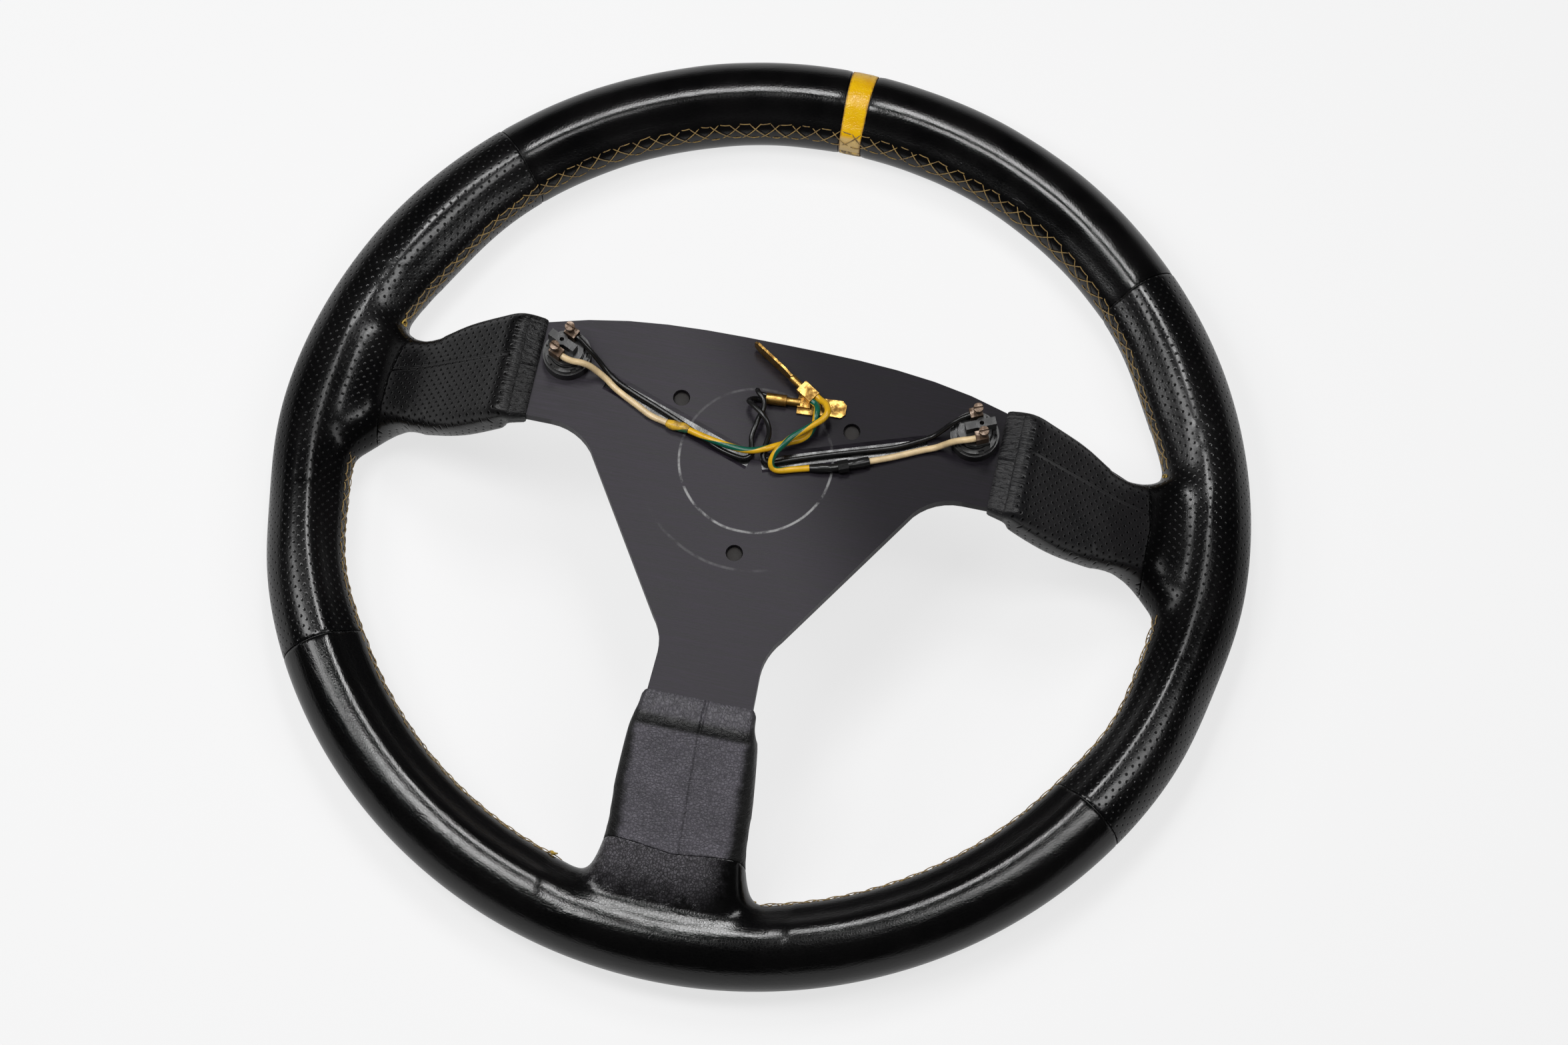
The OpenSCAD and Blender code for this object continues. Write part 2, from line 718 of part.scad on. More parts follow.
// Wiring
module flat_spade() {
    color(brass)
        translate([flat_spade_at[0], flat_spade_at[1], 0])
            rotate([0, 0, flat_spade_turn])
                union() {
                    translate([0, 0, 2.1])
                        rotate([0, 90, 0])
                            cylinder(d = 4, h = 7);
                    translate([6.9, 0, 2])
                        rotate([0, 90, 0])
                            cylinder(d = 2.8, h = 5);
                    translate([11, -3.6, 0.1])
                        cube([5.6, 7.2, 0.9]);
                    translate([11, -1.6, 0.1])
                        cube([4.5, 3.2, 2.3]);
                    translate([15, 0, 0.1])
                        linear_extrude(blade_t)
                            polygon([
                                [0, -blade_w / 2], [11.5, -blade_w / 2], [13, -blade_w / 2 + 1.4],
                                [13, blade_w / 2 - 1.4], [11.5, blade_w / 2], [0, blade_w / 2]
                            ]);
                }
}
module upright_spade() {
    color(brass)
        translate([upright_spade_at[0], upright_spade_at[1], crimp_z])
            rotate([0, 0, upright_spade_turn])
                union() {
                    translate([0, -2.3, -1.5])
                        cube([6.4, 4.6, 3]);
                    translate([6.3, 0, 0])
                        rotate([0, 90, 0])
                            cylinder(d = 2.6, h = 4.8);
                    translate([11, 0, 0])
                        rotate([90, 0, 0])
                            linear_extrude(blade_t, center = true)
                                polygon([
                                    [0, -2], [3.5, -blade_w / 2], [16.5, -blade_w / 2],
                                    [18, -blade_w / 2 + 1.4],
                                    [18, blade_w / 2 - 1.4], [16.5, blade_w / 2], [3.5, blade_w / 2], [0, 2]
                                ]);
                }
}
module left_splice() {
    color([0.6, 0.5, 0.2])
        tube(left_splice_path, [1.25, 1.8, 1.55, 1.8, 1.25]);
}
module right_splice_collar() {
    path = [right_sleeve_path[2], right_sleeve_path[3]];
    dir = unit(path[1] - path[0]);
    color([0.05, 0.05, 0.05])
        difference() {
            tube(path, [collar_d / 2, collar_d / 2]);
            tube([path[0] - dir, path[1] + dir], [sleeve_d / 2 + 0.2, sleeve_d / 2 + 0.2]);
        }
}

module mirrored() {
    mirror([1, 0, 0])
        children();
}

spoke_plate();
rim_hoop();
foam_core();
top_leather(marker_at + marker_half, top_seam_l);  // top_left_leather
top_leather(top_seam_r, marker_at - marker_half);  // top_right_leather
bottom_leather();
left_grip_leather();
right_grip_leather();
centre_marker();
spoke_sleeve("left", side_seam);  // left_spoke_sleeve
spoke_sleeve("right", side_seam);  // right_spoke_sleeve
spoke_sleeve("bottom", low_seam);  // bottom_spoke_sleeve
mirrored() button_body();  // left_button_body
mirrored() ring_nut();  // left_ring_nut
mirrored() bezel();  // left_bezel
mirrored() push_cap();  // left_push_cap
mirrored() return_spring();  // left_return_spring
mirrored() terminal_block();  // left_terminal_block
mirrored() wire_clamps();  // left_wire_clamps
mirrored() clamp_screws();  // left_clamp_screws
button_body();  // right_button_body
ring_nut();  // right_ring_nut
bezel();  // right_bezel
push_cap();  // right_push_cap
return_spring();  // right_return_spring
terminal_block();  // right_terminal_block
wire_clamps();  // right_wire_clamps
clamp_screws();  // right_clamp_screws
mirrored() channel_sealant();  // left_channel_sealant
channel_sealant();  // right_channel_sealant
lead(left_black_path, black_d, wire_black);  // left_black_lead
lead(right_black_path, black_d, wire_black);  // right_black_lead
lead(left_cream_path, earth_d, wire_cream);  // left_cream_lead
lead(right_cream_path, earth_d, wire_cream);  // right_cream_lead
lead(left_earth_path, earth_d, wire_yellow);  // left_earth_lead
lead(right_earth_path, earth_d, wire_yellow);  // right_earth_lead
left_splice();
lead(right_sleeve_path, sleeve_d, wire_black);  // right_splice_sleeve
right_splice_collar();
flat_spade();
upright_spade();
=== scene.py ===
import json
import math
import random
from functools import partialmethod

import bmesh
import bpy
from mathutils import Matrix, Vector, noise
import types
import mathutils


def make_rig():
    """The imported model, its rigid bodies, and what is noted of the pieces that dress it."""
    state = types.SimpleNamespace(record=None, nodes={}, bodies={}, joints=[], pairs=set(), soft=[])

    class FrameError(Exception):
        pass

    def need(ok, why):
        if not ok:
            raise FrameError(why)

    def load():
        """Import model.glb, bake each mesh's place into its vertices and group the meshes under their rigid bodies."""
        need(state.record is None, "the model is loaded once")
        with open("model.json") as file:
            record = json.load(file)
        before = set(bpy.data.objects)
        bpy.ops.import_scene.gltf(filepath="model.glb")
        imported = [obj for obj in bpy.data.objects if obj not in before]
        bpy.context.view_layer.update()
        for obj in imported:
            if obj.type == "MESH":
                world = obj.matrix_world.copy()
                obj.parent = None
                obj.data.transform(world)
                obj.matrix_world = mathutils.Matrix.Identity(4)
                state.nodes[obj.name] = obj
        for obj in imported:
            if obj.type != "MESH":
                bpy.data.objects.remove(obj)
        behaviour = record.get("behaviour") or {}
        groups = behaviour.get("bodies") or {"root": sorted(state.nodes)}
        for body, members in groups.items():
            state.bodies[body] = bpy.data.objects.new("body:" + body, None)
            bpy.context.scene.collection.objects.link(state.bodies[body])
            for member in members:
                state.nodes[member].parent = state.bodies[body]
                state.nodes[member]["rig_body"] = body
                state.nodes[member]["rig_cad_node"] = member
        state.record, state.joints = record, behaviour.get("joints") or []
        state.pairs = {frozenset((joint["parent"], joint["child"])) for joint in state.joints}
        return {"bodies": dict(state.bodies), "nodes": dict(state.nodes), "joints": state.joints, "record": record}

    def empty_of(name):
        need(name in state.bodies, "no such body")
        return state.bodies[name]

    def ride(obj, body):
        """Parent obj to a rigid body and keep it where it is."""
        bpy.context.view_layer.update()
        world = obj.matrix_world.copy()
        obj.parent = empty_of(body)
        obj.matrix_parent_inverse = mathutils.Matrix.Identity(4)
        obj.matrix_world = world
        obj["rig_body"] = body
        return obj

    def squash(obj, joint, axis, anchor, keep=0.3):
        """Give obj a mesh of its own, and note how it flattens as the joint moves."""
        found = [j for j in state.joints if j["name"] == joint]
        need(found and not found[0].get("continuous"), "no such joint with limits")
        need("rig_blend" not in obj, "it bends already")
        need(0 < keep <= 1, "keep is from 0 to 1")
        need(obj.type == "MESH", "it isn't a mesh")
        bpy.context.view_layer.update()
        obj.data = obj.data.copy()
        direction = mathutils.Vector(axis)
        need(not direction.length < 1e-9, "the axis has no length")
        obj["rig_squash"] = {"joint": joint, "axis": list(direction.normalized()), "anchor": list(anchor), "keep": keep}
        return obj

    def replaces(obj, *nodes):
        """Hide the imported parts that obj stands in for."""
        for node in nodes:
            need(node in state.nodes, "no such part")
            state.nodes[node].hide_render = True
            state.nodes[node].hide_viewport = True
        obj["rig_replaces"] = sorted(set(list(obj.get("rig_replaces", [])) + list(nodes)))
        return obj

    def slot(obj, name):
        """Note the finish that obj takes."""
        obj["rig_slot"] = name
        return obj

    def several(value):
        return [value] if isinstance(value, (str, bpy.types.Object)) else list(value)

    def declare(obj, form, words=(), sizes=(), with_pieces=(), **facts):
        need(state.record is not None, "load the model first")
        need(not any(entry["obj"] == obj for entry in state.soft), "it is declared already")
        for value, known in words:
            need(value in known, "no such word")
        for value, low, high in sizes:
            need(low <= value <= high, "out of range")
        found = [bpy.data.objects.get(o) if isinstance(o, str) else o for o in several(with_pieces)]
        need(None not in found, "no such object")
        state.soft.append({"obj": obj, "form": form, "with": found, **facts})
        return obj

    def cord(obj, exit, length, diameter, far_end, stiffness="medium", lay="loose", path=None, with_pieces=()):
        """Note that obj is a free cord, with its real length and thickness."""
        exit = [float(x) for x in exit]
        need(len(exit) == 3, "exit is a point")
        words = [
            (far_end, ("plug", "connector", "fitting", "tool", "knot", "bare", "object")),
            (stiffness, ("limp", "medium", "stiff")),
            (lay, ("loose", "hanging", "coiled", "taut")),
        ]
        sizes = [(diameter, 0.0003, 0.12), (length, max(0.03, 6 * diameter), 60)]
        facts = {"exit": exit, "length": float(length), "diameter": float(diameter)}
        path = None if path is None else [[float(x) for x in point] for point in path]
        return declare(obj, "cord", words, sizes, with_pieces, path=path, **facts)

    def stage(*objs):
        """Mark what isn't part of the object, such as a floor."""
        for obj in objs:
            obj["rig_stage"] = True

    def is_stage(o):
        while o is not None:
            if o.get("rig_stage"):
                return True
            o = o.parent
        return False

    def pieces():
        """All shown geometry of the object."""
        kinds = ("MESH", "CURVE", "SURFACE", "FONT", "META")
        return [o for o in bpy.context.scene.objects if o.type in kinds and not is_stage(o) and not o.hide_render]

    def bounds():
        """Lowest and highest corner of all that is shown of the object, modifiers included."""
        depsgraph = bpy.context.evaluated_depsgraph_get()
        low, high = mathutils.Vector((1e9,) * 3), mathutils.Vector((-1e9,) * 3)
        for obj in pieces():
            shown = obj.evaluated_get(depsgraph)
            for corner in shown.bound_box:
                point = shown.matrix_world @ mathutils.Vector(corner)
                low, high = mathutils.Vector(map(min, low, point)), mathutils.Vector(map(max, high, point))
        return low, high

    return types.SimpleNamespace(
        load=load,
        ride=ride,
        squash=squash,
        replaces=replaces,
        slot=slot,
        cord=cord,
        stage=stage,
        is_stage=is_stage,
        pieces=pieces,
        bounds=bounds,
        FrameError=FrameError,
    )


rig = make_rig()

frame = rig.load()
cad_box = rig.bounds()

# ---- sizes
MM = 0.001
# the rim's radius, its tube's radius and its depth below the plate, in metres
RIM = 0.160
GRIP = 0.015
DISH = 0.055
# the seams round the rim and the yellow mark, in degrees; the leather sits a little turned
TURN = -0.9
TOP_RIGHT = 44.5 + TURN
TOP_LEFT = 180 - 44.5 + TURN
LOW_LEFT = 180 + 31 + TURN
LOW_RIGHT = 360 - 31 + TURN
MARK = 90 + TURN
MARK_HALF = 1.61
SEAM_GAP = 0.1
# a side arm's middle in millimetres, and the sleeves' seams from the steering axis in metres
SIDE_MID = 17.75
SEAM_SIDE = 0.138
SEAM_LOW = 0.136
# leather: how far an edge is drawn back at a seam, and the foam's depth below it in millimetres
EDGE_DRAW = 0.00018
OVER_FOAM = 1.6
# where a side sleeve's band on the plate ends and its holes start, from the steering axis
BAND_END = (0.087, 0.091)
HOLES_START = (0.0885, 0.0895)
HOLE_PITCH = 0.0036
BEND = 0.088
SLOPE = 0.7071
# scratched rings on the plate, and the bolt circle
RING_MARK = 0.0270
WIDE_RING_MARK = 0.0412
BOLT_CIRCLE = 0.035
# stitching
STITCH_PITCH = 0.0072
INNER_RADIUS = 0.1464
THREAD_RADIUS = 0.00018
KNOT_RADIUS = 0.00028
HORN_TRAVEL = 0.0014


def deg(a):
    return math.radians(a)


def mm_points(points):
    return [Vector(p) * MM for p in points]


def new_object(name, data):
    obj = bpy.data.objects.new(name, data)
    bpy.context.collection.objects.link(obj)
    return obj


# ---- camera
def photo_camera():
    azimuth, elevation, roll, distance = deg(13.03), deg(69.36), deg(-0.84), 2.366
    target = Vector((0.0144, -0.0204, 0.0))
    level, rise = math.cos(elevation), math.sin(elevation)
    back = Vector((math.sin(azimuth) * level, -math.cos(azimuth) * level, rise))
    right = Vector((math.cos(azimuth), math.sin(azimuth), 0))
    up = back.cross(right)
    right, up = right * math.cos(roll) + up * math.sin(roll), up * math.cos(roll) - right * math.sin(roll)
    data = bpy.data.cameras.new("photo_camera")
    data.sensor_width = 36
    data.lens = 157.06
    data.clip_end = 20
    cam = new_object("photo_camera", data)
    turn = Matrix((right, up, back)).transposed().to_4x4()
    cam.matrix_world = Matrix.Translation(target + back * distance) @ turn
    bpy.context.scene.camera = cam


photo_camera()
bpy.context.scene.view_settings.view_transform = "Standard"


# ---- node helpers
class Shader:
    """A node tree that is written as short calls."""

    def __init__(self, tree, surface=None):
        self.tree = tree
        self.surface = surface

    def fill(self, node, inputs):
        for key, value in inputs.items():
            socket = node.inputs[key.replace("_", " ") if isinstance(key, str) else key]
            if isinstance(value, bpy.types.NodeSocket):
                self.tree.links.new(value, socket)
            else:
                socket.default_value = value
        return node

    def add(self, kind, inputs=None, **settings):
        made = self.tree.nodes.new(kind)
        for key, value in settings.items():
            setattr(made, key, value)
        return self.fill(made, inputs or {})

    def feed(self, **inputs):
        self.fill(self.surface, inputs)

    def group(self, name, **inputs):
        made = self.add("ShaderNodeGroup", node_tree=bpy.data.node_groups[name])
        return self.fill(made, inputs).outputs

    def worn(self, place, scale, amount):
        return self.group("worn patches", Place=place, Scale=scale, Amount=amount)[0]

    def math(self, operation, a, b=0.0):
        return self.add("ShaderNodeMath", {0: a, 1: b}, operation=operation).outputs[0]

    times = partialmethod(math, "MULTIPLY")
    plus = partialmethod(math, "ADD")
    minus = partialmethod(math, "SUBTRACT")
    over = partialmethod(math, "DIVIDE")
    larger = partialmethod(math, "MAXIMUM")
    size = partialmethod(math, "ABSOLUTE")

    def off(self, a, b):
        return self.size(self.minus(a, b))

    def vector(self, operation, a, b=(0, 0, 0)):
        return self.add("ShaderNodeVectorMath", {0: a, 1: b}, operation=operation).outputs[0]

    def split(self, value):
        return self.add("ShaderNodeSeparateXYZ", {0: value}).outputs

    def place(self):
        return self.add("ShaderNodeTexCoord").outputs["Object"]

    def skin(self):
        return self.add("ShaderNodeUVMap", uv_map="skin").outputs[0]

    def between(self, value, low, high, out_low=0.0, out_high=1.0, smooth=True):
        made = self.add("ShaderNodeMapRange", {0: value, 1: low, 2: high, 3: out_low, 4: out_high})
        made.interpolation_type = "SMOOTHSTEP" if smooth else "LINEAR"
        return made.outputs[0]

    def mix(self, amount, a, b):
        return self.add("ShaderNodeMix", {0: amount, 6: a, 7: b}, data_type="RGBA").outputs[2]

    def grey(self, value):
        return self.add("ShaderNodeCombineColor", {0: value, 1: value, 2: value}).outputs[0]

    def noise(self, where, scale, detail=3.0, roughness=0.55, distortion=0.0):
        inputs = {"Vector": where, "Scale": scale, "Detail": detail, "Roughness": roughness}
        return self.add("ShaderNodeTexNoise", {**inputs, "Distortion": distortion}).outputs[0]

    def bump(self, height, distance, strength=1.0, normal=None):
        inputs = {"Height": height, "Distance": distance, "Strength": strength}
        if normal is not None:
            inputs["Normal"] = normal
        return self.add("ShaderNodeBump", inputs).outputs[0]


def shader_group(name, inputs, outputs):
    """A node group; its Place is a vector, and its other sockets are numbers."""
    tree = bpy.data.node_groups.new(name, "ShaderNodeTree")
    for labels, way in ((inputs, "INPUT"), (outputs, "OUTPUT")):
        for label in labels:
            kind = "NodeSocketVector" if label == "Place" else "NodeSocketFloat"
            tree.interface.new_socket(label, in_out=way, socket_type=kind)
    made = Shader(tree)
    return made, made.add("NodeGroupInput").outputs, made.add("NodeGroupOutput").inputs


def new_material(name):
    mat = bpy.data.materials.new(name)
    mat.use_nodes = True
    return mat, Shader(mat.node_tree, mat.node_tree.nodes["Principled BSDF"])


def tone_of(level, red, green, blue):
    return (level * red, level * green, level * blue, 1)


# ---- shared effects
def build_leather_grain():
    g, i, o = shader_group("leather grain", ("Place", "Cell", "Creases"), ("Height", "Pores"))
    scale = g.over(1.0, i["Cell"])
    wander = g.add("ShaderNodeTexNoise", {"Vector": i["Place"], "Scale": g.times(scale, 0.6), "Detail": 2.0})
    shifted = g.vector("ADD", i["Place"], g.vector("MULTIPLY", wander.outputs[1], (0.0004, 0.0004, 0.0004)))
    inputs = {"Vector": shifted, "Scale": scale}
    cells = g.add("ShaderNodeTexVoronoi", inputs, feature="DISTANCE_TO_EDGE").outputs[0]
    pebble = g.between(cells, 0.0, 0.28)
    fine = g.noise(i["Place"], g.times(scale, 2.6), 3.0)
    long_way = g.vector("MULTIPLY", i["Place"], (0.22, 1.0, 1.0))
    fold = g.noise(long_way, g.times(scale, 0.42), 4.0, 0.6, 0.8)
    fold = g.between(g.off(fold, 0.5), 0.0, 0.06)
    height = g.plus(g.times(pebble, 0.5), g.times(fine, 0.35))
    height = g.plus(height, g.times(fold, i["Creases"]))
    g.tree.links.new(height, o["Height"])
    g.tree.links.new(g.minus(1.0, pebble), o["Pores"])


def build_perforation():
    g, i, o = shader_group("perforation", ("Place", "Pitch", "Hole"), ("Mask", "Rim"))
    sway = g.add("ShaderNodeTexNoise", {"Vector": i["Place"], "Scale": 45.0, "Detail": 1.0}).outputs[1]
    place = g.vector("ADD", i["Place"], g.vector("MULTIPLY", sway, (0.0014, 0.0014, 0.0)))
    parts = g.split(place)
    row = g.over(parts[1], g.times(i["Pitch"], 0.5))
    row_index = g.math("FLOOR", row)
    odd = g.times(g.math("MODULO", g.size(row_index), 2.0), 0.5)
    column = g.plus(g.over(parts[0], i["Pitch"]), odd)
    x = g.times(g.minus(g.math("FRACT", column), 0.5), i["Pitch"])
    y = g.times(g.minus(g.math("FRACT", row), 0.5), g.times(i["Pitch"], 0.5))
    far = g.math("SQRT", g.plus(g.times(x, x), g.times(y, y)))
    ratio = g.over(far, i["Hole"])
    g.tree.links.new(g.between(ratio, 0.75, 1.1, 1.0, 0.0), o["Mask"])
    g.tree.links.new(g.between(ratio, 0.9, 1.9, 1.0, 0.0), o["Rim"])


def build_patches():
    g, i, o = shader_group("worn patches", ("Place", "Scale", "Amount"), ("Mask",))
    big = g.noise(i["Place"], i["Scale"], 6.0, 0.65)
    edge = g.minus(1.0, i["Amount"])
    made = g.add("ShaderNodeMapRange", {0: big, 1: g.times(edge, 0.7), 2: g.plus(g.times(edge, 0.7), 0.18)})
    g.tree.links.new(made.outputs[0], o["Mask"])


build_leather_grain()
build_perforation()
build_patches()


# ---- materials
def leather_material(
    name, perforated=False, shine=0.2, creases=0.5, seam=None, fade=0.0, crook=False, satin=0.002
):
    """Black leather: seam is a welt's place across a spoke; fade the grey on the lower
    spoke's slope, part wear and part painted sheen; crook the grey on the rim's fillet beside it,
    part dust and part painted highlight; and satin the leather's grey, with a painted sheen where it is set lighter."""
    mat, s = new_material(name)
    skin, body = s.skin(), s.place()
    grain = s.group("leather grain", Place=skin, Cell=0.0011, Creases=creases)
    worn = s.worn(body, 26.0, 0.45)
    tint = s.mix(worn, tone_of(satin, 0.8, 0.8, 0.9), tone_of(satin, 1.5, 1.4, 1.5))
    # Painted sheen and wear: the top of the lower spoke's slope is painted grey, part wear and part the sheen of the
    # light in front, with less of it on the band on the plate.
    if fade:
        reach, side = s.split(skin)[:2]
        ragged = s.times(s.noise(body, 120.0, 3.0), 0.004)
        middle = s.between(s.plus(s.size(side), ragged), 0.0195, 0.0232, 1.0, 0.0)
        pale, dark = tone_of(fade, 1.6, 1.5, 1.75), tone_of(fade, 0.6, 0.58, 0.66)
        rubbed_grey_and_sheen = s.mix(s.noise(skin, 90.0, 5.0, 0.65), dark, pale)
        # Painted shade: the grey is left out at the step between the band and the slope, so the step stays dark.
        groove_shade = s.between(s.off(reach, 0.0958), 0.0010, 0.0032)
        band = s.between(reach, 0.0930, 0.0960, 0.6, 1.0)
        middle = s.times(middle, s.times(groove_shade, band))
        rubbed_grey_and_sheen = s.mix(s.times(grain["Pores"], 0.5), rubbed_grey_and_sheen, (0.012, 0.011, 0.013, 1))
        tint = s.mix(middle, tint, rubbed_grey_and_sheen)
    # Painted highlight and dust: a grey is painted on the lower panel's fillet beside the spoke.
    if crook:
        parts = s.split(body)
        ragged = s.times(s.noise(skin, 260.0, 5.0, 0.7), 0.012)
        deep = s.between(s.plus(parts[1], ragged), -0.147, -0.134)
        wide = s.between(s.size(s.plus(parts[0], ragged)), 0.014, 0.027, 1.0, 0.0)
        tint = s.mix(s.times(s.times(deep, wide), 0.8), tint, (0.19, 0.18, 0.20, 1))
        tint = s.mix(s.times(grain["Pores"], 0.7), tint, (0.003, 0.003, 0.003, 1))
    rough = s.plus(shine, s.times(worn, 0.05))
    rough = s.plus(rough, s.times(grain["Pores"], 0.04))
    normal = s.bump(s.noise(body, 55.0, 2.0), 0.0005, 0.4)
    if seam is not None:
        along, across = s.split(skin)[:2]
        off = s.off(across, seam)
        if perforated:
            off = s.plus(off, s.between(along, *HOLES_START, 0.01, 0.0))
            rough = s.plus(rough, s.between(along, *BAND_END, 0.12, 0.0))
            creased = s.noise(s.vector("MULTIPLY", skin, (0.6, 2.4, 1.0)), 330.0, 3.0, 0.6)
            creased = s.times(creased, s.between(along, *BAND_END, 1.0, 0.15))
            normal = s.bump(creased, 0.0007, 0.8, normal)
        normal = s.bump(s.between(off, 0.0, 0.0011), 0.0009, 0.8, normal)
    if fade or crook:
        folds = s.noise(s.vector("MULTIPLY", skin, (1.0, 0.45, 1.0)), 420.0, 4.0, 0.6, 0.8)
        folds = s.between(s.off(folds, 0.5), 0.0, 0.07)
        if crook:
            folds = s.times(folds, s.times(deep, wide))
        normal = s.bump(folds, 0.0005 if crook else 0.00018, 0.7, normal)
    depth, strength = 0.00022 if fade else 0.00005, 0.2 if perforated else 0.38
    normal = s.bump(grain["Height"], depth, strength, normal)
    gloss = 0.5
    if perforated:
        hole = 0.00032 if seam is None else 0.00040
        holes = s.group("perforation", Place=skin, Pitch=HOLE_PITCH, Hole=hole)
        dusty = s.between(s.noise(body, 60.0, 3.0), 0.3, 0.7, 0.007, 0.017)
        open_holes = holes["Mask"]
        if seam is not None:
            dusty = s.times(dusty, 0.05)
            open_holes = s.times(open_holes, s.between(along, *HOLES_START))
            dull = s.between(along, *BAND_END, 0.28, 0.5)
        else:
            dull = s.between(s.size(s.split(body)[1]), 0.014, 0.048, 0.16, 0.5)
        tint = s.mix(s.times(open_holes, 0.9), tint, s.grey(dusty))
        rough = s.plus(rough, s.times(open_holes, 0.35 if seam is None else 0.1))
        normal = s.bump(s.minus(1.0, holes["Rim"]), 0.00018, 0.4, normal)
        gloss = s.times(dull, s.between(open_holes, 0.0, 1.0, 1.0, 0.05))
    s.feed(Base_Color=tint, Roughness=rough, Normal=normal, Specular_IOR_Level=gloss)
    return mat


def marker_material():
    mat, s = new_material("yellow leather")
    skin = s.skin()
    body = s.place()
    grain = s.group("leather grain", Place=skin, Cell=0.0011, Creases=0.3)
    parts = s.split(skin)
    across = s.size(parts[0])
    edge = s.between(s.plus(across, s.times(s.noise(body, 900.0, 3.0), 0.0012)), 0.0040, 0.0050)
    outer = s.between(parts[1], 0.012, 0.0, 0.0, 1.0)
    specks = s.between(s.plus(s.noise(body, 520.0, 5.0, 0.7), s.times(outer, 0.2)), 0.63, 0.74)
    pale = s.between(parts[1], 0.0385, 0.0405)
    uneven = s.between(s.noise(body, 160.0, 4.0), 0.35, 0.7)
    tone = s.mix(uneven, (0.95, 0.56, 0.005, 1), (0.84, 0.43, 0.003, 1))
    tone = s.mix(pale, tone, (0.80, 0.55, 0.20, 1))
    tint = s.mix(s.times(edge, 0.8), tone, (0.22, 0.08, 0.01, 1))
    tint = s.mix(s.times(specks, 0.9), tint, (0.05, 0.025, 0.01, 1))
    dirt = s.larger(specks, edge)
    normal = s.bump(grain["Height"], 0.00012, 0.6)
    s.feed(Base_Color=tint, Roughness=s.plus(0.24, s.times(dirt, 0.3)), Normal=normal)
    return mat


def thread_material(name, pale, bright):
    mat, s = new_material(name)
    body = s.place()
    tone = s.mix(s.noise(body, 90.0, 3.0), (*pale, 1), (*bright, 1))
    tone = s.mix(s.between(s.noise(body, 700.0, 2.0), 0.45, 0.75), tone, (0.12, 0.07, 0.03, 1))
    inputs = {"Vector": s.skin(), "Scale": 900.0}
    strands = s.add("ShaderNodeTexWave", inputs, bands_direction="DIAGONAL").outputs[1]
    normal = s.bump(strands, 0.0001, 0.6)
    s.feed(Base_Color=tone, Roughness=0.7, Normal=normal, Sheen_Weight=0.2)
    return mat


def plate_material():
    mat, s = new_material("black brushed plate")
    body = s.place()
    parts = s.split(body)
    lines = s.noise(s.vector("MULTIPLY", body, (70.0, 1700.0, 700.0)), 1.0, 4.0, 0.7)
    coarse = s.noise(s.vector("MULTIPLY", body, (18.0, 620.0, 240.0)), 1.0, 3.0, 0.6)
    brushed = s.plus(s.times(lines, 0.65), s.times(coarse, 0.35))
    flat = s.add("ShaderNodeCombineXYZ", {0: parts[0], 1: parts[1]}).outputs[0]
    radius = s.add("ShaderNodeVectorMath", {0: flat}, operation="LENGTH").outputs["Value"]
    shaky = s.plus(radius, s.times(s.noise(body, 60.0, 2.0), 0.0006))
    ring = s.between(s.off(shaky, RING_MARK), 0.00022, 0.00060, 1.0, 0.0)
    broken = s.between(s.noise(body, 130.0, 4.0, 0.7), 0.38, 0.62)
    lower = s.between(parts[1], 0.012, -0.012, 0.18, 1.0)
    ring = s.times(ring, s.times(broken, lower))
    wide_ring = s.between(s.off(shaky, WIDE_RING_MARK), 0.0002, 0.0007, 0.2, 0.0)
    corner = s.times(s.between(parts[1], -0.022, -0.034), s.between(parts[0], 0.016, 0.002))
    wide_ring = s.times(wide_ring, s.times(broken, corner))
    marks = s.noise(s.vector("MULTIPLY", body, (260.0, 700.0, 300.0)), 1.0, 5.0, 0.75)
    marks = s.between(marks, 0.70, 0.78, 0.0, 0.5)
    scratch = s.larger(s.larger(ring, wide_ring), marks)
    dust = s.between(s.noise(body, 2400.0, 2.0), 0.74, 0.80, 0.0, 0.6)
    streak = s.between(brushed, 0.36, 0.64, smooth=False)
    tone = s.mix(streak, (0.0022, 0.0014, 0.0034, 1), (0.0300, 0.0235, 0.0360, 1))
    # Painted shade: the plate is painted darker towards its upper right, where it reflects less light, and its gloss is
    # lowered the same way.
    shade = s.between(s.plus(parts[0], s.times(parts[1], 0.7)), -0.012, 0.045, 1.0, 0.45)
    tone = s.mix(shade, (0.0010, 0.0008, 0.0014, 1), tone)
    tint = s.mix(s.times(scratch, 0.75), tone, (0.42, 0.42, 0.42, 1))
    tint = s.mix(dust, tint, (0.16, 0.16, 0.16, 1))
    rough = s.plus(0.40, s.times(streak, 0.10))
    normal = s.bump(brushed, 0.00008, 0.4)
    upward = s.add("ShaderNodeCombineXYZ", {0: 0.0, 1: 1.0, 2: 0.0}).outputs[0]
    s.feed(Base_Color=tint, Roughness=rough, Normal=normal, Tangent=upward)
    s.feed(Anisotropic=0.5, Specular_IOR_Level=s.times(shade, 0.3))
    return mat


def plastic_material(name, color, rough=0.35):
    mat, s = new_material(name)
    body = s.place()
    worn = s.worn(body, 160.0, 0.4)
    tint = s.mix(worn, (*color, 1), (*[c * 1.4 + 0.01 for c in color], 1))
    fine = s.noise(body, 1400.0, 3.0)
    rough = s.plus(rough, s.times(worn, 0.15))
    s.feed(Base_Color=tint, Roughness=rough, Normal=s.bump(fine, 0.00006, 0.5))
    return mat


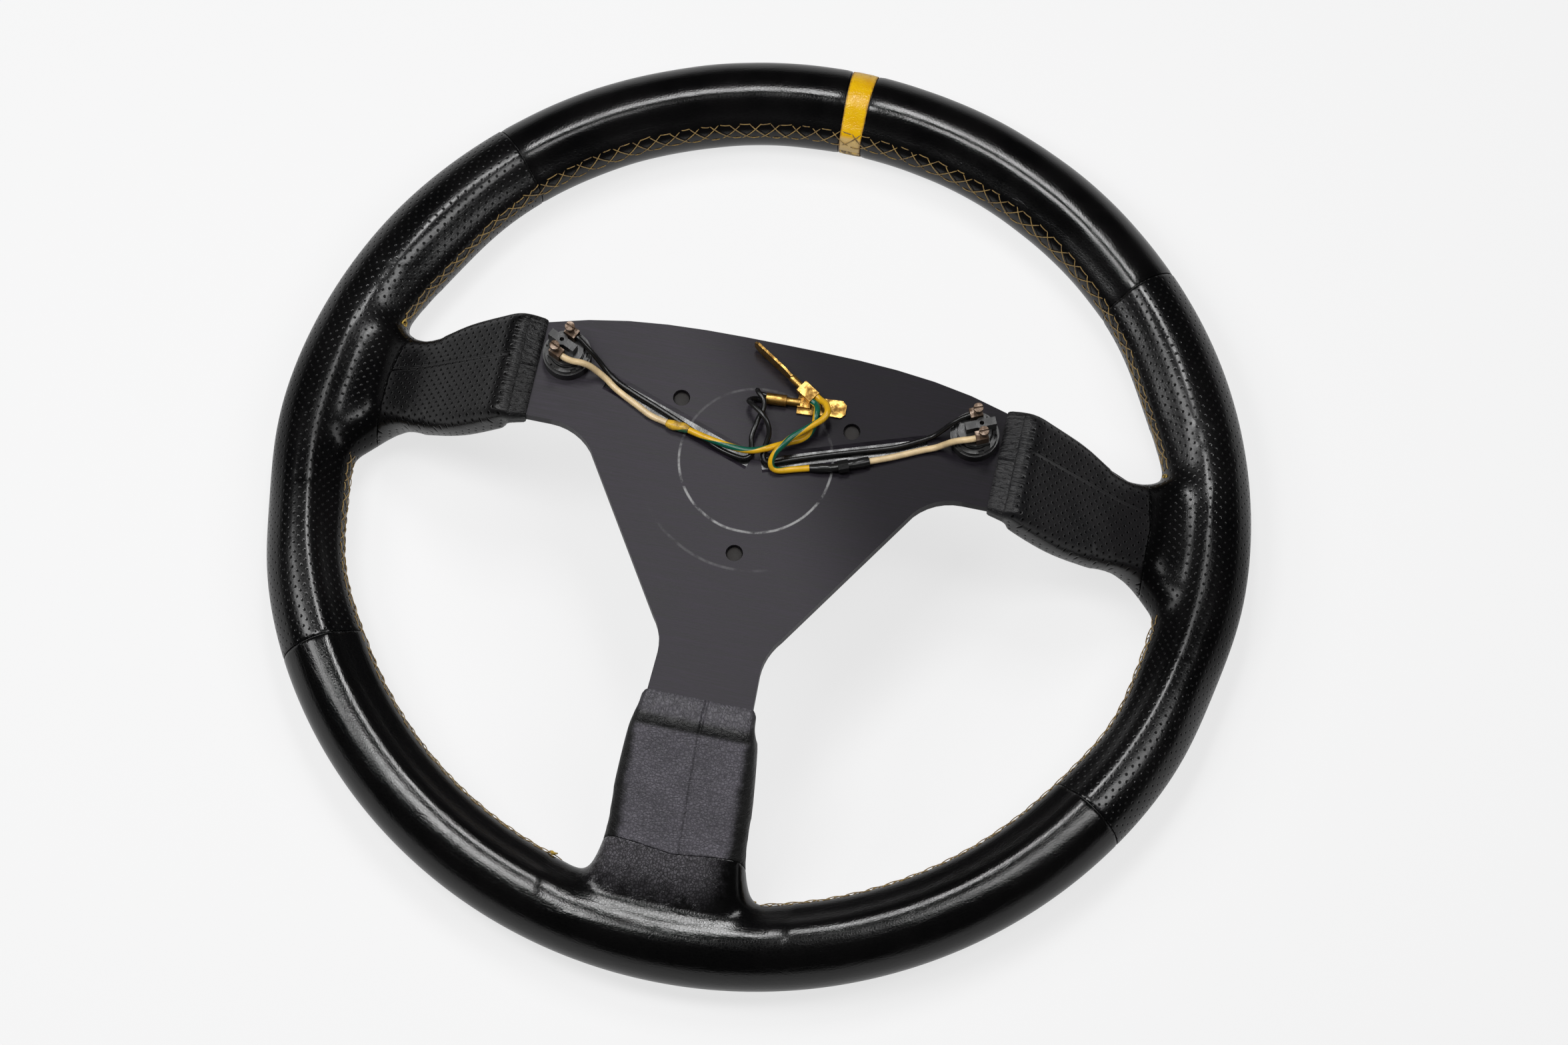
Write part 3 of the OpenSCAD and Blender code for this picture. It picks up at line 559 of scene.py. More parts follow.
def metal_material(name, color, tarnish, rough=0.3, amount=0.45):
    mat, s = new_material(name)
    body = s.place()
    dull = s.worn(body, 330.0, amount)
    fine = s.noise(body, 1900.0, 4.0, 0.65)
    tint = s.mix(dull, (*color, 1), (*tarnish, 1))
    tint = s.mix(s.between(fine, 0.55, 0.8, 0.0, 0.4), tint, (*[c * 0.5 for c in tarnish], 1))
    rough, normal = s.plus(rough, s.times(dull, 0.25)), s.bump(fine, 0.00005, 0.5)
    s.feed(Base_Color=tint, Metallic=1.0, Roughness=rough, Normal=normal)
    return mat


def wire_material(name, color, stripe=None, grime=0.3):
    mat, s = new_material(name)
    skin = s.skin()
    body = s.place()
    tint = (*color, 1)
    tone = s.mix(s.between(s.noise(body, 300.0, 4.0), 0.3, 0.7), tint, (*[c * 0.8 for c in color], 1))
    if stripe:
        parts = s.split(skin)
        twist = s.math("FRACT", s.plus(parts[1], s.times(parts[0], stripe["twist"])))
        side = s.off(twist, 0.5)
        band = s.between(side, stripe["width"] - 0.015, stripe["width"] + 0.015, 1.0, 0.0)
        tone = s.mix(band, tone, (*stripe["color"], 1))
    dirty = s.between(s.noise(body, 190.0, 5.0, 0.7), 0.80 - grime, 0.92 - grime)
    tone = s.mix(s.times(dirty, 0.6), tone, (0.16, 0.08, 0.025, 1))
    normal = s.bump(s.noise(body, 500.0, 3.0), 0.00012, 0.5)
    s.feed(Base_Color=tone, Roughness=s.plus(0.28, s.times(dirty, 0.3)), Normal=normal)
    return mat


SMOOTH_LEATHER = leather_material("smooth leather", shine=0.14, creases=0.3)
GRIP_LEATHER = leather_material("perforated leather", perforated=True, shine=0.17, creases=0.45)
# The two sleeves are one leather: the right one is painted lighter than the left, a painted sheen where the light falls
# on it.
LEFT_SLEEVE_LEATHER = leather_material(
    "left sleeve leather", perforated=True, shine=0.20, creases=0.45, seam=0.0027, satin=0.0035)
RIGHT_SLEEVE_LEATHER = leather_material(
    "right sleeve leather", perforated=True, shine=0.24, creases=0.45, seam=0.0052, satin=0.010)
LOW_SLEEVE_LEATHER = leather_material(
    "lower sleeve leather", shine=0.42, creases=0.6, seam=0.0026, fade=0.15)
LOW_PANEL_LEATHER = leather_material("lower panel leather", shine=0.14, creases=0.5, crook=True)
YELLOW_LEATHER = marker_material()
THREAD = thread_material("waxed thread", (0.24, 0.14, 0.035), (0.52, 0.34, 0.09))
KNOT_THREAD = thread_material("clean yellow thread", (0.60, 0.36, 0.03), (0.85, 0.58, 0.08))
BLACK_PLATE = plate_material()
BAKELITE = plastic_material("black bakelite", (0.012, 0.012, 0.012), 0.3)
RED_CAP = plastic_material("red cap", (0.42, 0.02, 0.015), 0.28)
SEALANT = plastic_material("black sealant", (0.006, 0.006, 0.006), 0.16)
PLUG_RUBBER = plastic_material("plug rubber", (0.007, 0.005, 0.004), 0.6)
FOAM = plastic_material("grey foam", (0.05, 0.05, 0.05), 0.8)
OLD_NICKEL = metal_material("old nickel clamps", (0.26, 0.20, 0.16), (0.12, 0.08, 0.055), 0.38)
BRASS = metal_material("stamped brass", (0.58, 0.36, 0.10), (0.26, 0.14, 0.035), 0.34, 0.4)
SPRING_STEEL = metal_material("spring steel", (0.6, 0.6, 0.6), (0.35, 0.32, 0.3), 0.3)
TUBE_METAL = metal_material("hoop aluminium", (0.75, 0.75, 0.76), (0.5, 0.5, 0.5), 0.35)
BLACK_WIRE = wire_material("black insulation", (0.008, 0.008, 0.008), grime=0.1)
CREAM_WIRE = wire_material("cream insulation", (0.82, 0.62, 0.35), grime=0.2)
STRIPED_WIRE = wire_material(
    "yellow and green insulation", (0.80, 0.45, 0.012),
    {"color": (0.003, 0.10, 0.06), "width": 0.17, "twist": 26.0}, grime=0.1)
SLEEVING = wire_material("heat shrink sleeving", (0.010, 0.010, 0.010), grime=0.15)
GLUED_SPLICE = wire_material(
    "glued splice", (0.75, 0.45, 0.04),
    {"color": (0.01, 0.14, 0.07), "width": 0.12, "twist": 40.0}, grime=0.34)


# ---- mesh helpers
def face_out(bm):
    bmesh.ops.recalc_face_normals(bm, faces=bm.faces[:])


def skin_layer(bm):
    return bm.loops.layers.uv.get("skin") or bm.loops.layers.uv.new("skin")


def stand_in(piece, node):
    """Let a piece of the wheel take the place of a CAD piece."""
    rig.ride(piece, "wheel")
    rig.replaces(piece, node)


def add_piece(name, bm, material, slot, sharp=70):
    """Make a piece of the wheel that the CAD doesn't have."""
    piece = finish_object(name, bm, material, sharp)
    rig.ride(piece, "wheel")
    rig.slot(piece, slot)



def finish_object(name, bm, material, sharp=55, smooth=True):
    mesh = bpy.data.meshes.new(name)
    bm.normal_update()
    bm.to_mesh(mesh)
    bm.free()
    obj = new_object(name, mesh)
    mesh.materials.append(material)
    if smooth:
        mesh.shade_smooth()
        mesh.set_sharp_from_angle(angle=deg(sharp))
    return obj


def curve(a, b, c, d, t):
    """A place between b and c, on the smooth curve through all four."""
    square, cube = 2 * a - 5 * b + 4 * c - d, 3 * b - a - 3 * c + d
    return 0.5 * (2 * b + (c - a) * t + square * t * t + cube * t ** 3)


def smooth_path(points, step=0.0008):
    """Points spaced evenly along a smooth curve through the given ones."""
    padded = [points[0] * 2 - points[1], *points, points[-1] * 2 - points[-2]]
    dense = []
    for i in range(1, len(padded) - 2):
        a, b, c, d = padded[i - 1 : i + 3]
        for k in range(24):
            dense.append(curve(a, b, c, d, k / 24))
    dense.append(points[-1].copy())
    lengths = [0.0]
    for a, b in zip(dense, dense[1:]):
        lengths.append(lengths[-1] + (b - a).length)
    count = max(2, round(lengths[-1] / step))
    even, j = [], 0
    for k in range(count + 1):
        want = lengths[-1] * k / count
        while j < len(dense) - 2 and lengths[j + 1] < want:
            j += 1
        span = lengths[j + 1] - lengths[j]
        even.append(dense[j].lerp(dense[j + 1], 0 if span < 1e-12 else (want - lengths[j]) / span))
    return even, lengths[-1]


def open_ring(bm, count, radius=1.0):
    ring = bmesh.ops.create_circle(bm, segments=count, radius=radius)["verts"]
    return ring, list({e for v in ring for e in v.link_edges})


def extrude_ring(bm, ring, edges):
    """Extrude a ring of vertices; returns what was made, the new ring in order, and its edges."""
    made = bmesh.ops.extrude_edge_only(bm, edges=edges)["geom"]
    fresh = {g for g in made if isinstance(g, bmesh.types.BMVert)}
    order = [next(e.other_vert(v) for e in v.link_edges if e.other_vert(v) in fresh) for v in ring]
    made_edges = [g for g in made if isinstance(g, bmesh.types.BMEdge)]
    return made, order, [e for e in made_edges if e.verts[0] in fresh and e.verts[1] in fresh]


def sweep_tube(bm, path, radius, sides=12):
    """Sweep a closed tube along a path; radius is a number or a function of 0 to 1."""
    uv = skin_layer(bm)
    width = radius if callable(radius) else (lambda t: radius)
    current, edges = open_ring(bm, sides)
    shape = [v.co.copy() for v in current]
    tangent = (path[1] - path[0]).normalized()
    frame_turn = tangent.to_track_quat("Z", "Y")
    travelled = 0.0
    for v, co in zip(current, shape):
        v.co = path[0] + frame_turn @ (co * width(0.0))
    bmesh.ops.contextual_create(bm, geom=edges)
    for i in range(1, len(path)):
        ahead = path[min(i + 1, len(path) - 1)] - path[i - 1]
        new_tangent = ahead.normalized()
        frame_turn = tangent.rotation_difference(new_tangent) @ frame_turn
        tangent = new_tangent
        step = (path[i] - path[i - 1]).length
        made, order, edges = extrude_ring(bm, current, edges)
        for v, co in zip(order, shape):
            v.co = path[i] + frame_turn @ (co * width(i / (len(path) - 1)))
        index = {v: k for ring in (current, order) for k, v in enumerate(ring)}
        high = set(order)
        for face in [g for g in made if isinstance(g, bmesh.types.BMFace)]:
            around = [index[l.vert] for l in face.loops]
            wrap = max(around) - min(around) > 1
            for l in face.loops:
                k = index[l.vert]
                k = k + sides if wrap and k == 0 else k
                l[uv].uv = (travelled + (step if l.vert in high else 0.0), k / sides)
        travelled += step
        current = order
    bmesh.ops.contextual_create(bm, geom=edges)


def tube_object(name, points, radius, material, sides=16, step=0.0008):
    path, length = smooth_path(points, step)
    bm = bmesh.new()
    sweep_tube(bm, path, radius, sides)
    face_out(bm)
    return finish_object(name, bm, material, 60), path, length


# ---- wiring
LEFT_BLACK = [
    (-70.8, 28.7, 10), (-68.7, 27.7, 9.9), (-66, 26, 8.6), (-63.5, 24.6, 7),
    (-61, 23.2, 4.4), (-57.8, 21.1, 2),
    (-53.2, 18.2, 1.1), (-46, 15.2, 0.5), (-36.7, 11.6, 0.4), (-26.2, 7.2, 0.4), (-14.6, 1.8, 0.9),
    (-8.2, -0.1, 1.1), (-4, -0.4, 1.1), (-1.8, 1.4, 1.8), (-2.4, 4.2, 3), (-3, 6.8, 4),
    (-2.5, 10.6, 5), (-2, 13.7, 5.2), (-1.1, 17.4, 5.4), (-1.5, 20.4, 5.6), (-3.6, 22.6, 5.6),
    (-4.6, 24, 4.6), (-3.6, 23.5, 3.2), (-1.4, 23.4, 3),
]
RIGHT_BLACK = [
    (70.8, 28.7, 10), (68.7, 27.7, 9.9), (66.4, 26.4, 8.6), (64, 24.9, 6.9),
    (61.5, 23.2, 4.2), (58.5, 21.2, 1.7),
    (54, 18.6, 1), (46, 14.6, 0.5), (36.8, 11.4, 0.4), (25.8, 7.7, 0.4), (14.8, 3.7, 0.4),
    (8.5, 1.2, 0.5), (4.4, -0.4, 1), (2.4, 1, 1.6), (2.2, 4.4, 2.8), (2.8, 8.8, 5.2),
    (1.3, 12.3, 7.2), (-1.4, 14.9, 7.8), (-4.9, 17.6, 6.8), (-6.7, 19.6, 4.6), (-5.4, 21.6, 2.4),
    (-3.4, 22, 1.6), (-1.3, 22, 1.5),
]
LEFT_CREAM = [
    (-74.4, 20.7, 10), (-72.1, 19.7, 9.9), (-69.4, 19.3, 9.5), (-66.5, 19.6, 8.8), (-63.4, 19.7, 6.9),
    (-60.4, 19.3, 3.8), (-57.1, 18, 1.9), (-52.5, 15, 1.3), (-44, 10.6, 1.3),
    (-39, 8.1, 1.4), (-33.2, 6.6, 1.9),
]
LEFT_SPLICE = [(-33.1, 6.57, 1.9), (-31, 6.05, 2.1), (-28.6, 5.9, 2.3), (-26.8, 5.7, 2.6), (-25, 5.2, 2.8)]
LEFT_EARTH = [
    (-24.9, 5.17, 2.8), (-18.7, 3.5, 3.4), (-12.1, 2.2, 3.9), (-5.6, 1.4, 4.3), (-1.4, 1.7, 4.7),
    (2.5, 3, 5.2), (6.2, 5.3, 4.2), (9.9, 7.7, 3.3), (13.7, 9.7, 3), (16.2, 12, 3.4),
    (17.4, 15.6, 4.8), (17.4, 18.6, 6), (17.2, 21.2, 5.6), (16.5, 23, 4.35), (14.78, 24.11, 4.2),
]
RIGHT_CREAM = [
    (74.4, 20.7, 10), (72.1, 19.7, 9.9), (69.2, 18.9, 9.4), (66, 18.4, 7.4), (63, 17.9, 4.2),
    (60, 17, 1.9), (55, 15, 1.3), (46, 10.6, 1.3), (38.6, 7.3, 1.7),
]
RIGHT_SLEEVE = [
    (38.5, 7.25, 1.7), (34.5, 5.2, 2.2), (31.9, 4, 2.6), (28.5, 2.6, 2.6), (25, 1.6, 2.2), (19, 0.5, 1.7),
]
RIGHT_EARTH = [
    (18.9, 0.48, 1.7), (13.9, -0.9, 1.4), (8.8, -2.5, 1.6), (6.4, -2.3, 2.4), (5.6, -0.6, 3.8),
    (6.4, 2, 5.6), (8.5, 5, 6.9), (11, 8.4, 7.2), (14.5, 12, 6.8), (17.7, 14.8, 7.3),
    (20.2, 17.2, 7.8), (21.2, 20, 7.9), (19.9, 23.3, 6.2), (17.9, 24.95, 4.5), (16.07, 26.12, 4.2),
]


def lay_lead(name, route, diameter, material, far_end, with_pieces=()):
    piece, path, length = tube_object(name, mm_points(route), diameter / 2, material, step=0.0007)
    stand_in(piece, name.replace("_wire", "_lead"))
    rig.cord(
        piece, exit=path[0], length=length, diameter=diameter, far_end=far_end,
        stiffness="limp", lay="loose", path=path, with_pieces=with_pieces,
    )


def make_wiring():
    def glue(t):
        waist = 0.22 * math.exp(-((t - 0.5) / 0.12) ** 2)
        return (1.25 + 0.6 * math.sin(math.pi * t) ** 0.6 - waist) * MM

    def shrunk(t):
        return (1.5 + 0.12 * math.sin(t * 17) + (0.25 if t < 0.34 else 0.0)) * MM

    nodes = frame["nodes"]
    flat, upright, collar = (nodes[n] for n in ("flat_spade", "upright_spade", "right_splice_collar"))
    splice, _, _ = tube_object("left_splice_glue", mm_points(LEFT_SPLICE), glue, GLUED_SPLICE)
    stand_in(splice, "left_splice")
    sleeve, _, _ = tube_object("right_sleeving", mm_points(RIGHT_SLEEVE), shrunk, SLEEVING)
    stand_in(sleeve, "right_splice_sleeve")
    thin, thick = 0.0018, 0.0023
    lay_lead("left_black_wire", LEFT_BLACK, thin, BLACK_WIRE, "connector", [flat])
    lay_lead("right_black_wire", RIGHT_BLACK, thin, BLACK_WIRE, "object")
    lay_lead("left_cream_wire", LEFT_CREAM, thick, CREAM_WIRE, "fitting", [splice])
    lay_lead("left_earth_wire", LEFT_EARTH, thick, STRIPED_WIRE, "connector", [upright])
    lay_lead("right_cream_wire", RIGHT_CREAM, thick, CREAM_WIRE, "fitting", [sleeve, collar])
    lay_lead("right_earth_wire", RIGHT_EARTH, thick, STRIPED_WIRE, "object")


make_wiring()


# ---- rim leather
def bell(x, spread):
    return math.exp(-((x / spread) ** 2))


def rim_form(angle, section):
    """Radius of the leather round the tube, which the lacing pulls flat on its upper inner side."""
    off = abs(section % 360 - 125) / 32
    return GRIP - (1.5 * math.cos(deg(90 * off)) ** 2 if off < 1 else 0.0) * MM


def grip_form(angle, section):
    """The same over the grips: thumb swell, finger waist and palm hollow."""
    height = math.degrees(math.asin(max(-1.0, min(1.0, math.sin(deg(angle))))))
    section %= 360
    swell = 2.3 * bell(height - 29, 9) * max(0.0, math.cos(deg((section - 135) / 1.6))) ** 2
    waist = 1.8 * bell(height + 10, 8) * max(0.0, math.cos(deg(section - 20))) ** 2
    palm = 1.8 * bell(height + 20, 8) * max(0.0, math.cos(deg(section - 180))) ** 2
    return rim_form(angle, section) + (swell - waist - palm) * MM


def rim_place(angle, section, radius):
    out = RIM + radius * math.cos(deg(section))
    height = -DISH + radius * math.sin(deg(section))
    return Vector((out * math.cos(deg(angle)), out * math.sin(deg(angle)), height))


def rim_angles(co):
    angle = math.degrees(math.atan2(co.y, co.x))
    section = math.degrees(math.atan2(co.z + DISH, math.hypot(co.x, co.y) - RIM))
    return angle, section


def turned_to(angle, near):
    """The same angle, in the turn that comes nearest to another."""
    return angle + 360 * round((near - angle) / 360)


def spin_rim(bm, first, last, sides=64, step=1.0, radius=GRIP, joined=False):
    """A length of the rim's tube, spun round the steering axis."""
    ring, edges = open_ring(bm, sides, radius)
    place = Matrix.Rotation(deg(first), 4, "Z") @ Matrix.Translation((RIM, 0, -DISH))
    bmesh.ops.transform(bm, matrix=place @ Matrix.Rotation(deg(90), 4, "X"), verts=ring)
    bmesh.ops.spin(
        bm, geom=ring + edges, cent=(0, 0, 0), axis=(0, 0, 1), angle=deg(last - first),
        steps=max(2, round((last - first) / step)), use_merge=joined,
    )


def close_ends(bm):
    edges = [e for e in bm.edges if e.is_boundary]
    bmesh.ops.holes_fill(bm, edges=edges)
    face_out(bm)


def tuck_edges(bm, centre_of, depth=0.0011):
    """Turn each open edge of a leather panel inwards, as the cut edge is at a seam."""
    for v in {v for e in bm.edges if e.is_boundary for v in e.verts}:
        v.co += (centre_of(v.co) - v.co).normalized() * EDGE_DRAW
    edges = [e for e in bm.edges if e.is_boundary]
    made = bmesh.ops.extrude_edge_only(bm, edges=edges)["geom"]
    for v in [g for g in made if isinstance(g, bmesh.types.BMVert)]:
        v.co += (centre_of(v.co) - v.co).normalized() * depth
    close_ends(bm)


def rim_centre(co):
    angle = math.atan2(co.y, co.x)
    return Vector((RIM * math.cos(angle), RIM * math.sin(angle), -DISH))


def skin_rim(bm, zero=0.0, fillet=False):
    """UV in metres: along the rim, and round the tube from its outer side. Over a spoke's fillet
    it is carried on by the straight distance from the tube's crest."""
    uv = skin_layer(bm)
    for face in bm.faces:
        mid_angle, mid_section = rim_angles(face.calc_center_median())
        for loop in face.loops:
            co = loop.vert.co
            angle, section = rim_angles(co)
            angle, section = turned_to(angle, mid_angle), turned_to(section, mid_section)
            around = deg(section) * GRIP
            depth = RIM - math.hypot(co.x, co.y)
            if fillet and abs(section) > 90 and depth > 0:
                crest = deg(90) * GRIP + math.hypot(depth, GRIP - abs(co.z + DISH))
                around = math.copysign(crest, section)
            loop[uv].uv = (deg(angle - zero) * RIM, around)


def smooth_panel(name, node, first, last, material, zero=0.0):
    bm = bmesh.new()
    spin_rim(bm, first + SEAM_GAP, last - SEAM_GAP, 72, 0.6)
    for v in bm.verts:
        angle, section = rim_angles(v.co)
        v.co = rim_place(angle, section, rim_form(angle, section))
        lift = noise.noise(v.co * 38) * 0.00022 + noise.noise(v.co * 110) * 0.00005
        v.co += (v.co - rim_centre(v.co)).normalized() * lift
    tuck_edges(bm, rim_centre)
    skin_rim(bm, zero)
    stand_in(finish_object(name, bm, material), node)


smooth_panel("upper_left_panel", "top_left_leather", MARK + MARK_HALF, TOP_LEFT, SMOOTH_LEATHER)
smooth_panel("upper_right_panel", "top_right_leather", TOP_RIGHT, MARK - MARK_HALF, SMOOTH_LEATHER)
smooth_panel("yellow_mark", "centre_marker", MARK - MARK_HALF, MARK + MARK_HALF, YELLOW_LEATHER, MARK)


# ---- padded spokes
def spoke_stations(wrap, bend, arm_half, padding, skew):
    """Sections over the leather, in millimetres: distance, height, tilt, half width,
    half thickness, corner, sideways shift."""
    def down(past):
        return -2.25 - (past - 5.25 * math.tan(deg(22.5)))

    rows = [
        (wrap, -2.25, 0, 0, 2.25, 0.6), (bend - 0.4, -2.25, 0, 1, 2.75, 0.8),
        (bend + 3, down(3) - 0.2, 20, 2, 4.55, 2.4), (bend + 7, down(7) - 0.2, 45, 3, 4.85, 2.8),
        (bend + 20, down(20), 45, 4, 5.25, 4), (bend + 33, down(33), 45, 5, 5.95, 5),
        (bend + 42, down(41), 40, 6, 7.5, 6), (bend + 50, -50.5, 25, 7, 9.45, 8),
        (bend + 58, -54, 5, 8, 10.95, 10), (160, -55, 0, 9, 11.4, 10.5),
    ]
    grow = 1.35
    return [
        (u, z, tilt, arm_half + padding[k] + grow, thick + grow, corner + grow, skew[k])
        for u, z, tilt, k, thick, corner in rows
    ]


SIDE_ROWS = spoke_stations(
    82, 87.5, 17.75, [0, 0.7, 1.1, 1.6, 1.4, -1.4, -1.8, 1.9, 9.4, 10.4],
    [0, -0.4, -0.7, -1.2, -1.8, -2.1, 0, 2.6, 2.5, 2.5])
LOW_ROWS = spoke_stations(90, 95.5, 18.5, [0, 0.5, 1.5, 2.7, 4.2, 5, 6.7, 11.2, 18.2, 20.2], [0] * 10)

SPOKES = {"left": (SIDE_ROWS, SIDE_MID), "right": (SIDE_ROWS, SIDE_MID), "bottom": (LOW_ROWS, 0.0)}


def station_at(rows, t):
    """Smooth in-between station, t counted in rows."""
    i = max(0, min(len(rows) - 2, int(t)))
    f = t - i
    a, b, c, d = rows[max(0, i - 1)], rows[i], rows[i + 1], rows[min(len(rows) - 1, i + 2)]
    if i == 0:
        return [b[k] + (c[k] - b[k]) * f for k in range(7)]
    return [curve(a[k], b[k], c[k], d[k], f) for k in range(7)]


def section_point(row, k, count):
    """Point k of count round a rounded rectangle, as (across, up)."""
    _, _, _, half, thick, corner, shift = row
    corner = min(corner, thick - 0.05)
    per_side = count // 4
    side, step = divmod(k, per_side)
    straight = per_side // 2
    sx, sy = ((1, 1), (-1, 1), (-1, -1), (1, -1))[side]
    turn = deg(90 * side + 90 * min(step, straight) / straight)
    x = sx * (half - corner) + corner * math.cos(turn)
    y = sy * (thick - corner) + corner * math.sin(turn)
    if step > straight:
        f = (step - straight) / (per_side - straight)
        if side in (0, 2):
            x -= sx * 2 * (half - corner) * f
        else:
            y -= sy * 2 * (thick - corner) * f
    return x + shift, y


def loft_spoke(bm, rows, middle, count=48, sections=46):
    current, edges = open_ring(bm, count)
    for i in range(sections + 1):
        row = station_at(rows, (len(rows) - 1) * i / sections)
        if i:
            _, current, edges = extrude_ring(bm, current, edges)
        tilt = deg(row[2])
        for k, v in enumerate(current):
            across, up = section_point(row, k, count)
            reach, height = row[0] + up * math.sin(tilt), row[1] + up * math.cos(tilt)
            v.co = Vector((reach, middle + across, height)) * MM


def add_spoke(bm, side, rows, middle, *fineness):
    """Loft one closed spoke and join it to the form."""
    spoke = bmesh.new()
    loft_spoke(spoke, rows, middle, *fineness)
    close_ends(spoke)
    bmesh.ops.transform(spoke, matrix=SPOKE_TURNS[side], verts=spoke.verts)
    face_out(spoke)
    part = bpy.data.meshes.new("spoke_part")
    spoke.to_mesh(part)
    spoke.free()
    bm.from_mesh(part)
    bpy.data.meshes.remove(part)


SPOKE_TURNS = {
    "right": Matrix.Identity(4),
    "left": Matrix.Scale(-1, 4, (1, 0, 0)),
    "bottom": Matrix.Rotation(deg(-90), 4, "Z"),
}


def remeshed(bm, voxel):
    mesh = bpy.data.meshes.new("rough_form")
    bm.to_mesh(mesh)
    bm.free()
    obj = new_object("rough_form", mesh)
    change = obj.modifiers.new("skin", "REMESH")
    change.mode = "VOXEL"
    change.voxel_size = voxel
    whole = bpy.data.meshes.new_from_object(obj.evaluated_get(bpy.context.evaluated_depsgraph_get()))
    bpy.data.objects.remove(obj)
    bpy.data.meshes.remove(mesh)
    out = bmesh.new()
    out.from_mesh(whole)
    bpy.data.meshes.remove(whole)
    return out


def wrapped_form(side, first, last, form):
    """The rim and its padded spoke as one smooth body, before the leather is cut at its seams."""
    bm = bmesh.new()
    spin_rim(bm, first - 3, last + 3)
    for v in bm.verts:
        angle, section = rim_angles(v.co)
        v.co = rim_place(angle, section, form(angle, section))
    close_ends(bm)
    rows, middle = SPOKES[side]
    add_spoke(bm, side, rows, middle)
    bm = remeshed(bm, 0.0010)
    back = SPOKE_TURNS[side].inverted()
    for rounds, reach in ((26, 1.0), (22, 0.72), (16, 0.5)):
        zone = []
        for v in bm.verts:
            p = back @ v.co
            out = max(abs(p.x - 0.141) / 0.021, (abs(p.y - middle * MM) - 0.018) / 0.026)
            if out < reach:
                zone.append(v)
        for _ in range(rounds):
            bmesh.ops.smooth_vert(
                bm, verts=zone, factor=0.5, use_axis_x=True, use_axis_y=True, use_axis_z=True)
    return bm


def cut_away(bm, point, normal):
    """Keep what lies behind the plane."""
    geom = bm.verts[:] + bm.edges[:] + bm.faces[:]
    bmesh.ops.bisect_plane(bm, geom=geom, plane_co=point, plane_no=normal, clear_outer=True)


def seam_plane(angle, ahead):
    at = Vector((math.cos(deg(angle)), math.sin(deg(angle)), 0)) * RIM
    normal = Vector((-math.sin(deg(angle)), math.cos(deg(angle)), 0)) * ahead
    return at, normal


def skin_sleeve(bm, side):
    """UV in metres: along the spoke's slope, and across it round the edges."""
    uv = skin_layer(bm)
    back = SPOKE_TURNS[side].inverted()
    downhill = Vector((SLOPE, 0, SLOPE))
    for face in bm.faces:
        for loop in face.loops:
            p = back @ loop.vert.co
            past = p.x - BEND
            along = p.x if past < 0 else BEND + past * SLOPE + (-p.z) * SLOPE
            rise = Vector((past, 0, p.z + 0.0045)).dot(downhill) if past > 0 else p.z
            across = p.y - SPOKES[side][1] * MM
            loop[uv].uv = (along, across + math.copysign(max(0.0, 0.004 - rise), across))


def spoke_centre(side):
    turn, middle = SPOKE_TURNS[side], SPOKES[side][1] * MM
    back = turn.inverted()

    def centre(co):
        p = back @ co
        z = -0.0022 if p.x < 0.09 else -0.0022 - (p.x - 0.0895)
        return turn @ Vector((p.x, middle + (p.y - middle) * 0.55, max(z, -DISH)))

    return centre


def mark_seam(bm, heading, radius):
    """Cut a line round the spoke, at one distance from the steering axis, and return its facets."""
    facets = []
    for turn in range(-66, 67, 12):
        out = Vector((math.cos(deg(heading + turn)), math.sin(deg(heading + turn)), 0))
        along = Vector((-out.y, out.x, 0))
        near = []
        for face in bm.faces:
            mid = face.calc_center_median()
            if abs(mid.dot(out) - radius) < 0.004 and abs(mid.dot(along)) < radius * 0.16:
                near.append(face)
        geom = near + list({e for f in near for e in f.edges}) + list({v for f in near for v in f.verts})
        bmesh.ops.bisect_plane(bm, geom=geom, plane_co=out * radius, plane_no=out, dist=1e-6)
        facets.append(out)
    return facets


def keep_side(bm, facets, radius, inner):
    """Keep the leather inside or outside the seam, and draw its edge back a little."""
    wrong = [f for f in bm.faces if (max(f.calc_center_median().dot(n) for n in facets) < radius) != inner]
    bmesh.ops.delete(bm, geom=wrong, context="FACES")
    for v in [v for v in bm.verts if v.is_boundary]:
        inward = sum((f.calc_center_median() - v.co for f in v.link_faces), Vector())
        if inward.length > 1e-9:
            v.co += inward.normalized() * EDGE_DRAW


def make_wrap(side, first, last, seam, form, sleeve_piece, rim_piece):
    """A spoke's sleeve and the rim's panel beside it; each piece is a name, a node, a material."""
    whole = wrapped_form(side, first, last, form)
    aim = SPOKE_TURNS[side] @ Vector((seam, SPOKES[side][1] * MM, 0))
    facets = mark_seam(whole, math.degrees(math.atan2(aim.y, aim.x)), seam)
    sleeve, rim = whole.copy(), whole
    keep_side(sleeve, facets, seam, True)
    tuck_edges(sleeve, spoke_centre(side))
    skin_sleeve(sleeve, side)
    keep_side(rim, facets, seam, False)
    cut_away(rim, *seam_plane(first + SEAM_GAP, -1))
    cut_away(rim, *seam_plane(last - SEAM_GAP, 1))

    def centre(co):
        if max(co.dot(n) for n in facets) < seam + 0.0006:
            return spoke_centre(side)(co)
        return rim_centre(co)

    tuck_edges(rim, centre)
    skin_rim(rim, fillet=True)
    for bm, (name, node, material) in ((sleeve, sleeve_piece), (rim, rim_piece)):
        stand_in(finish_object(name, bm, material), node)


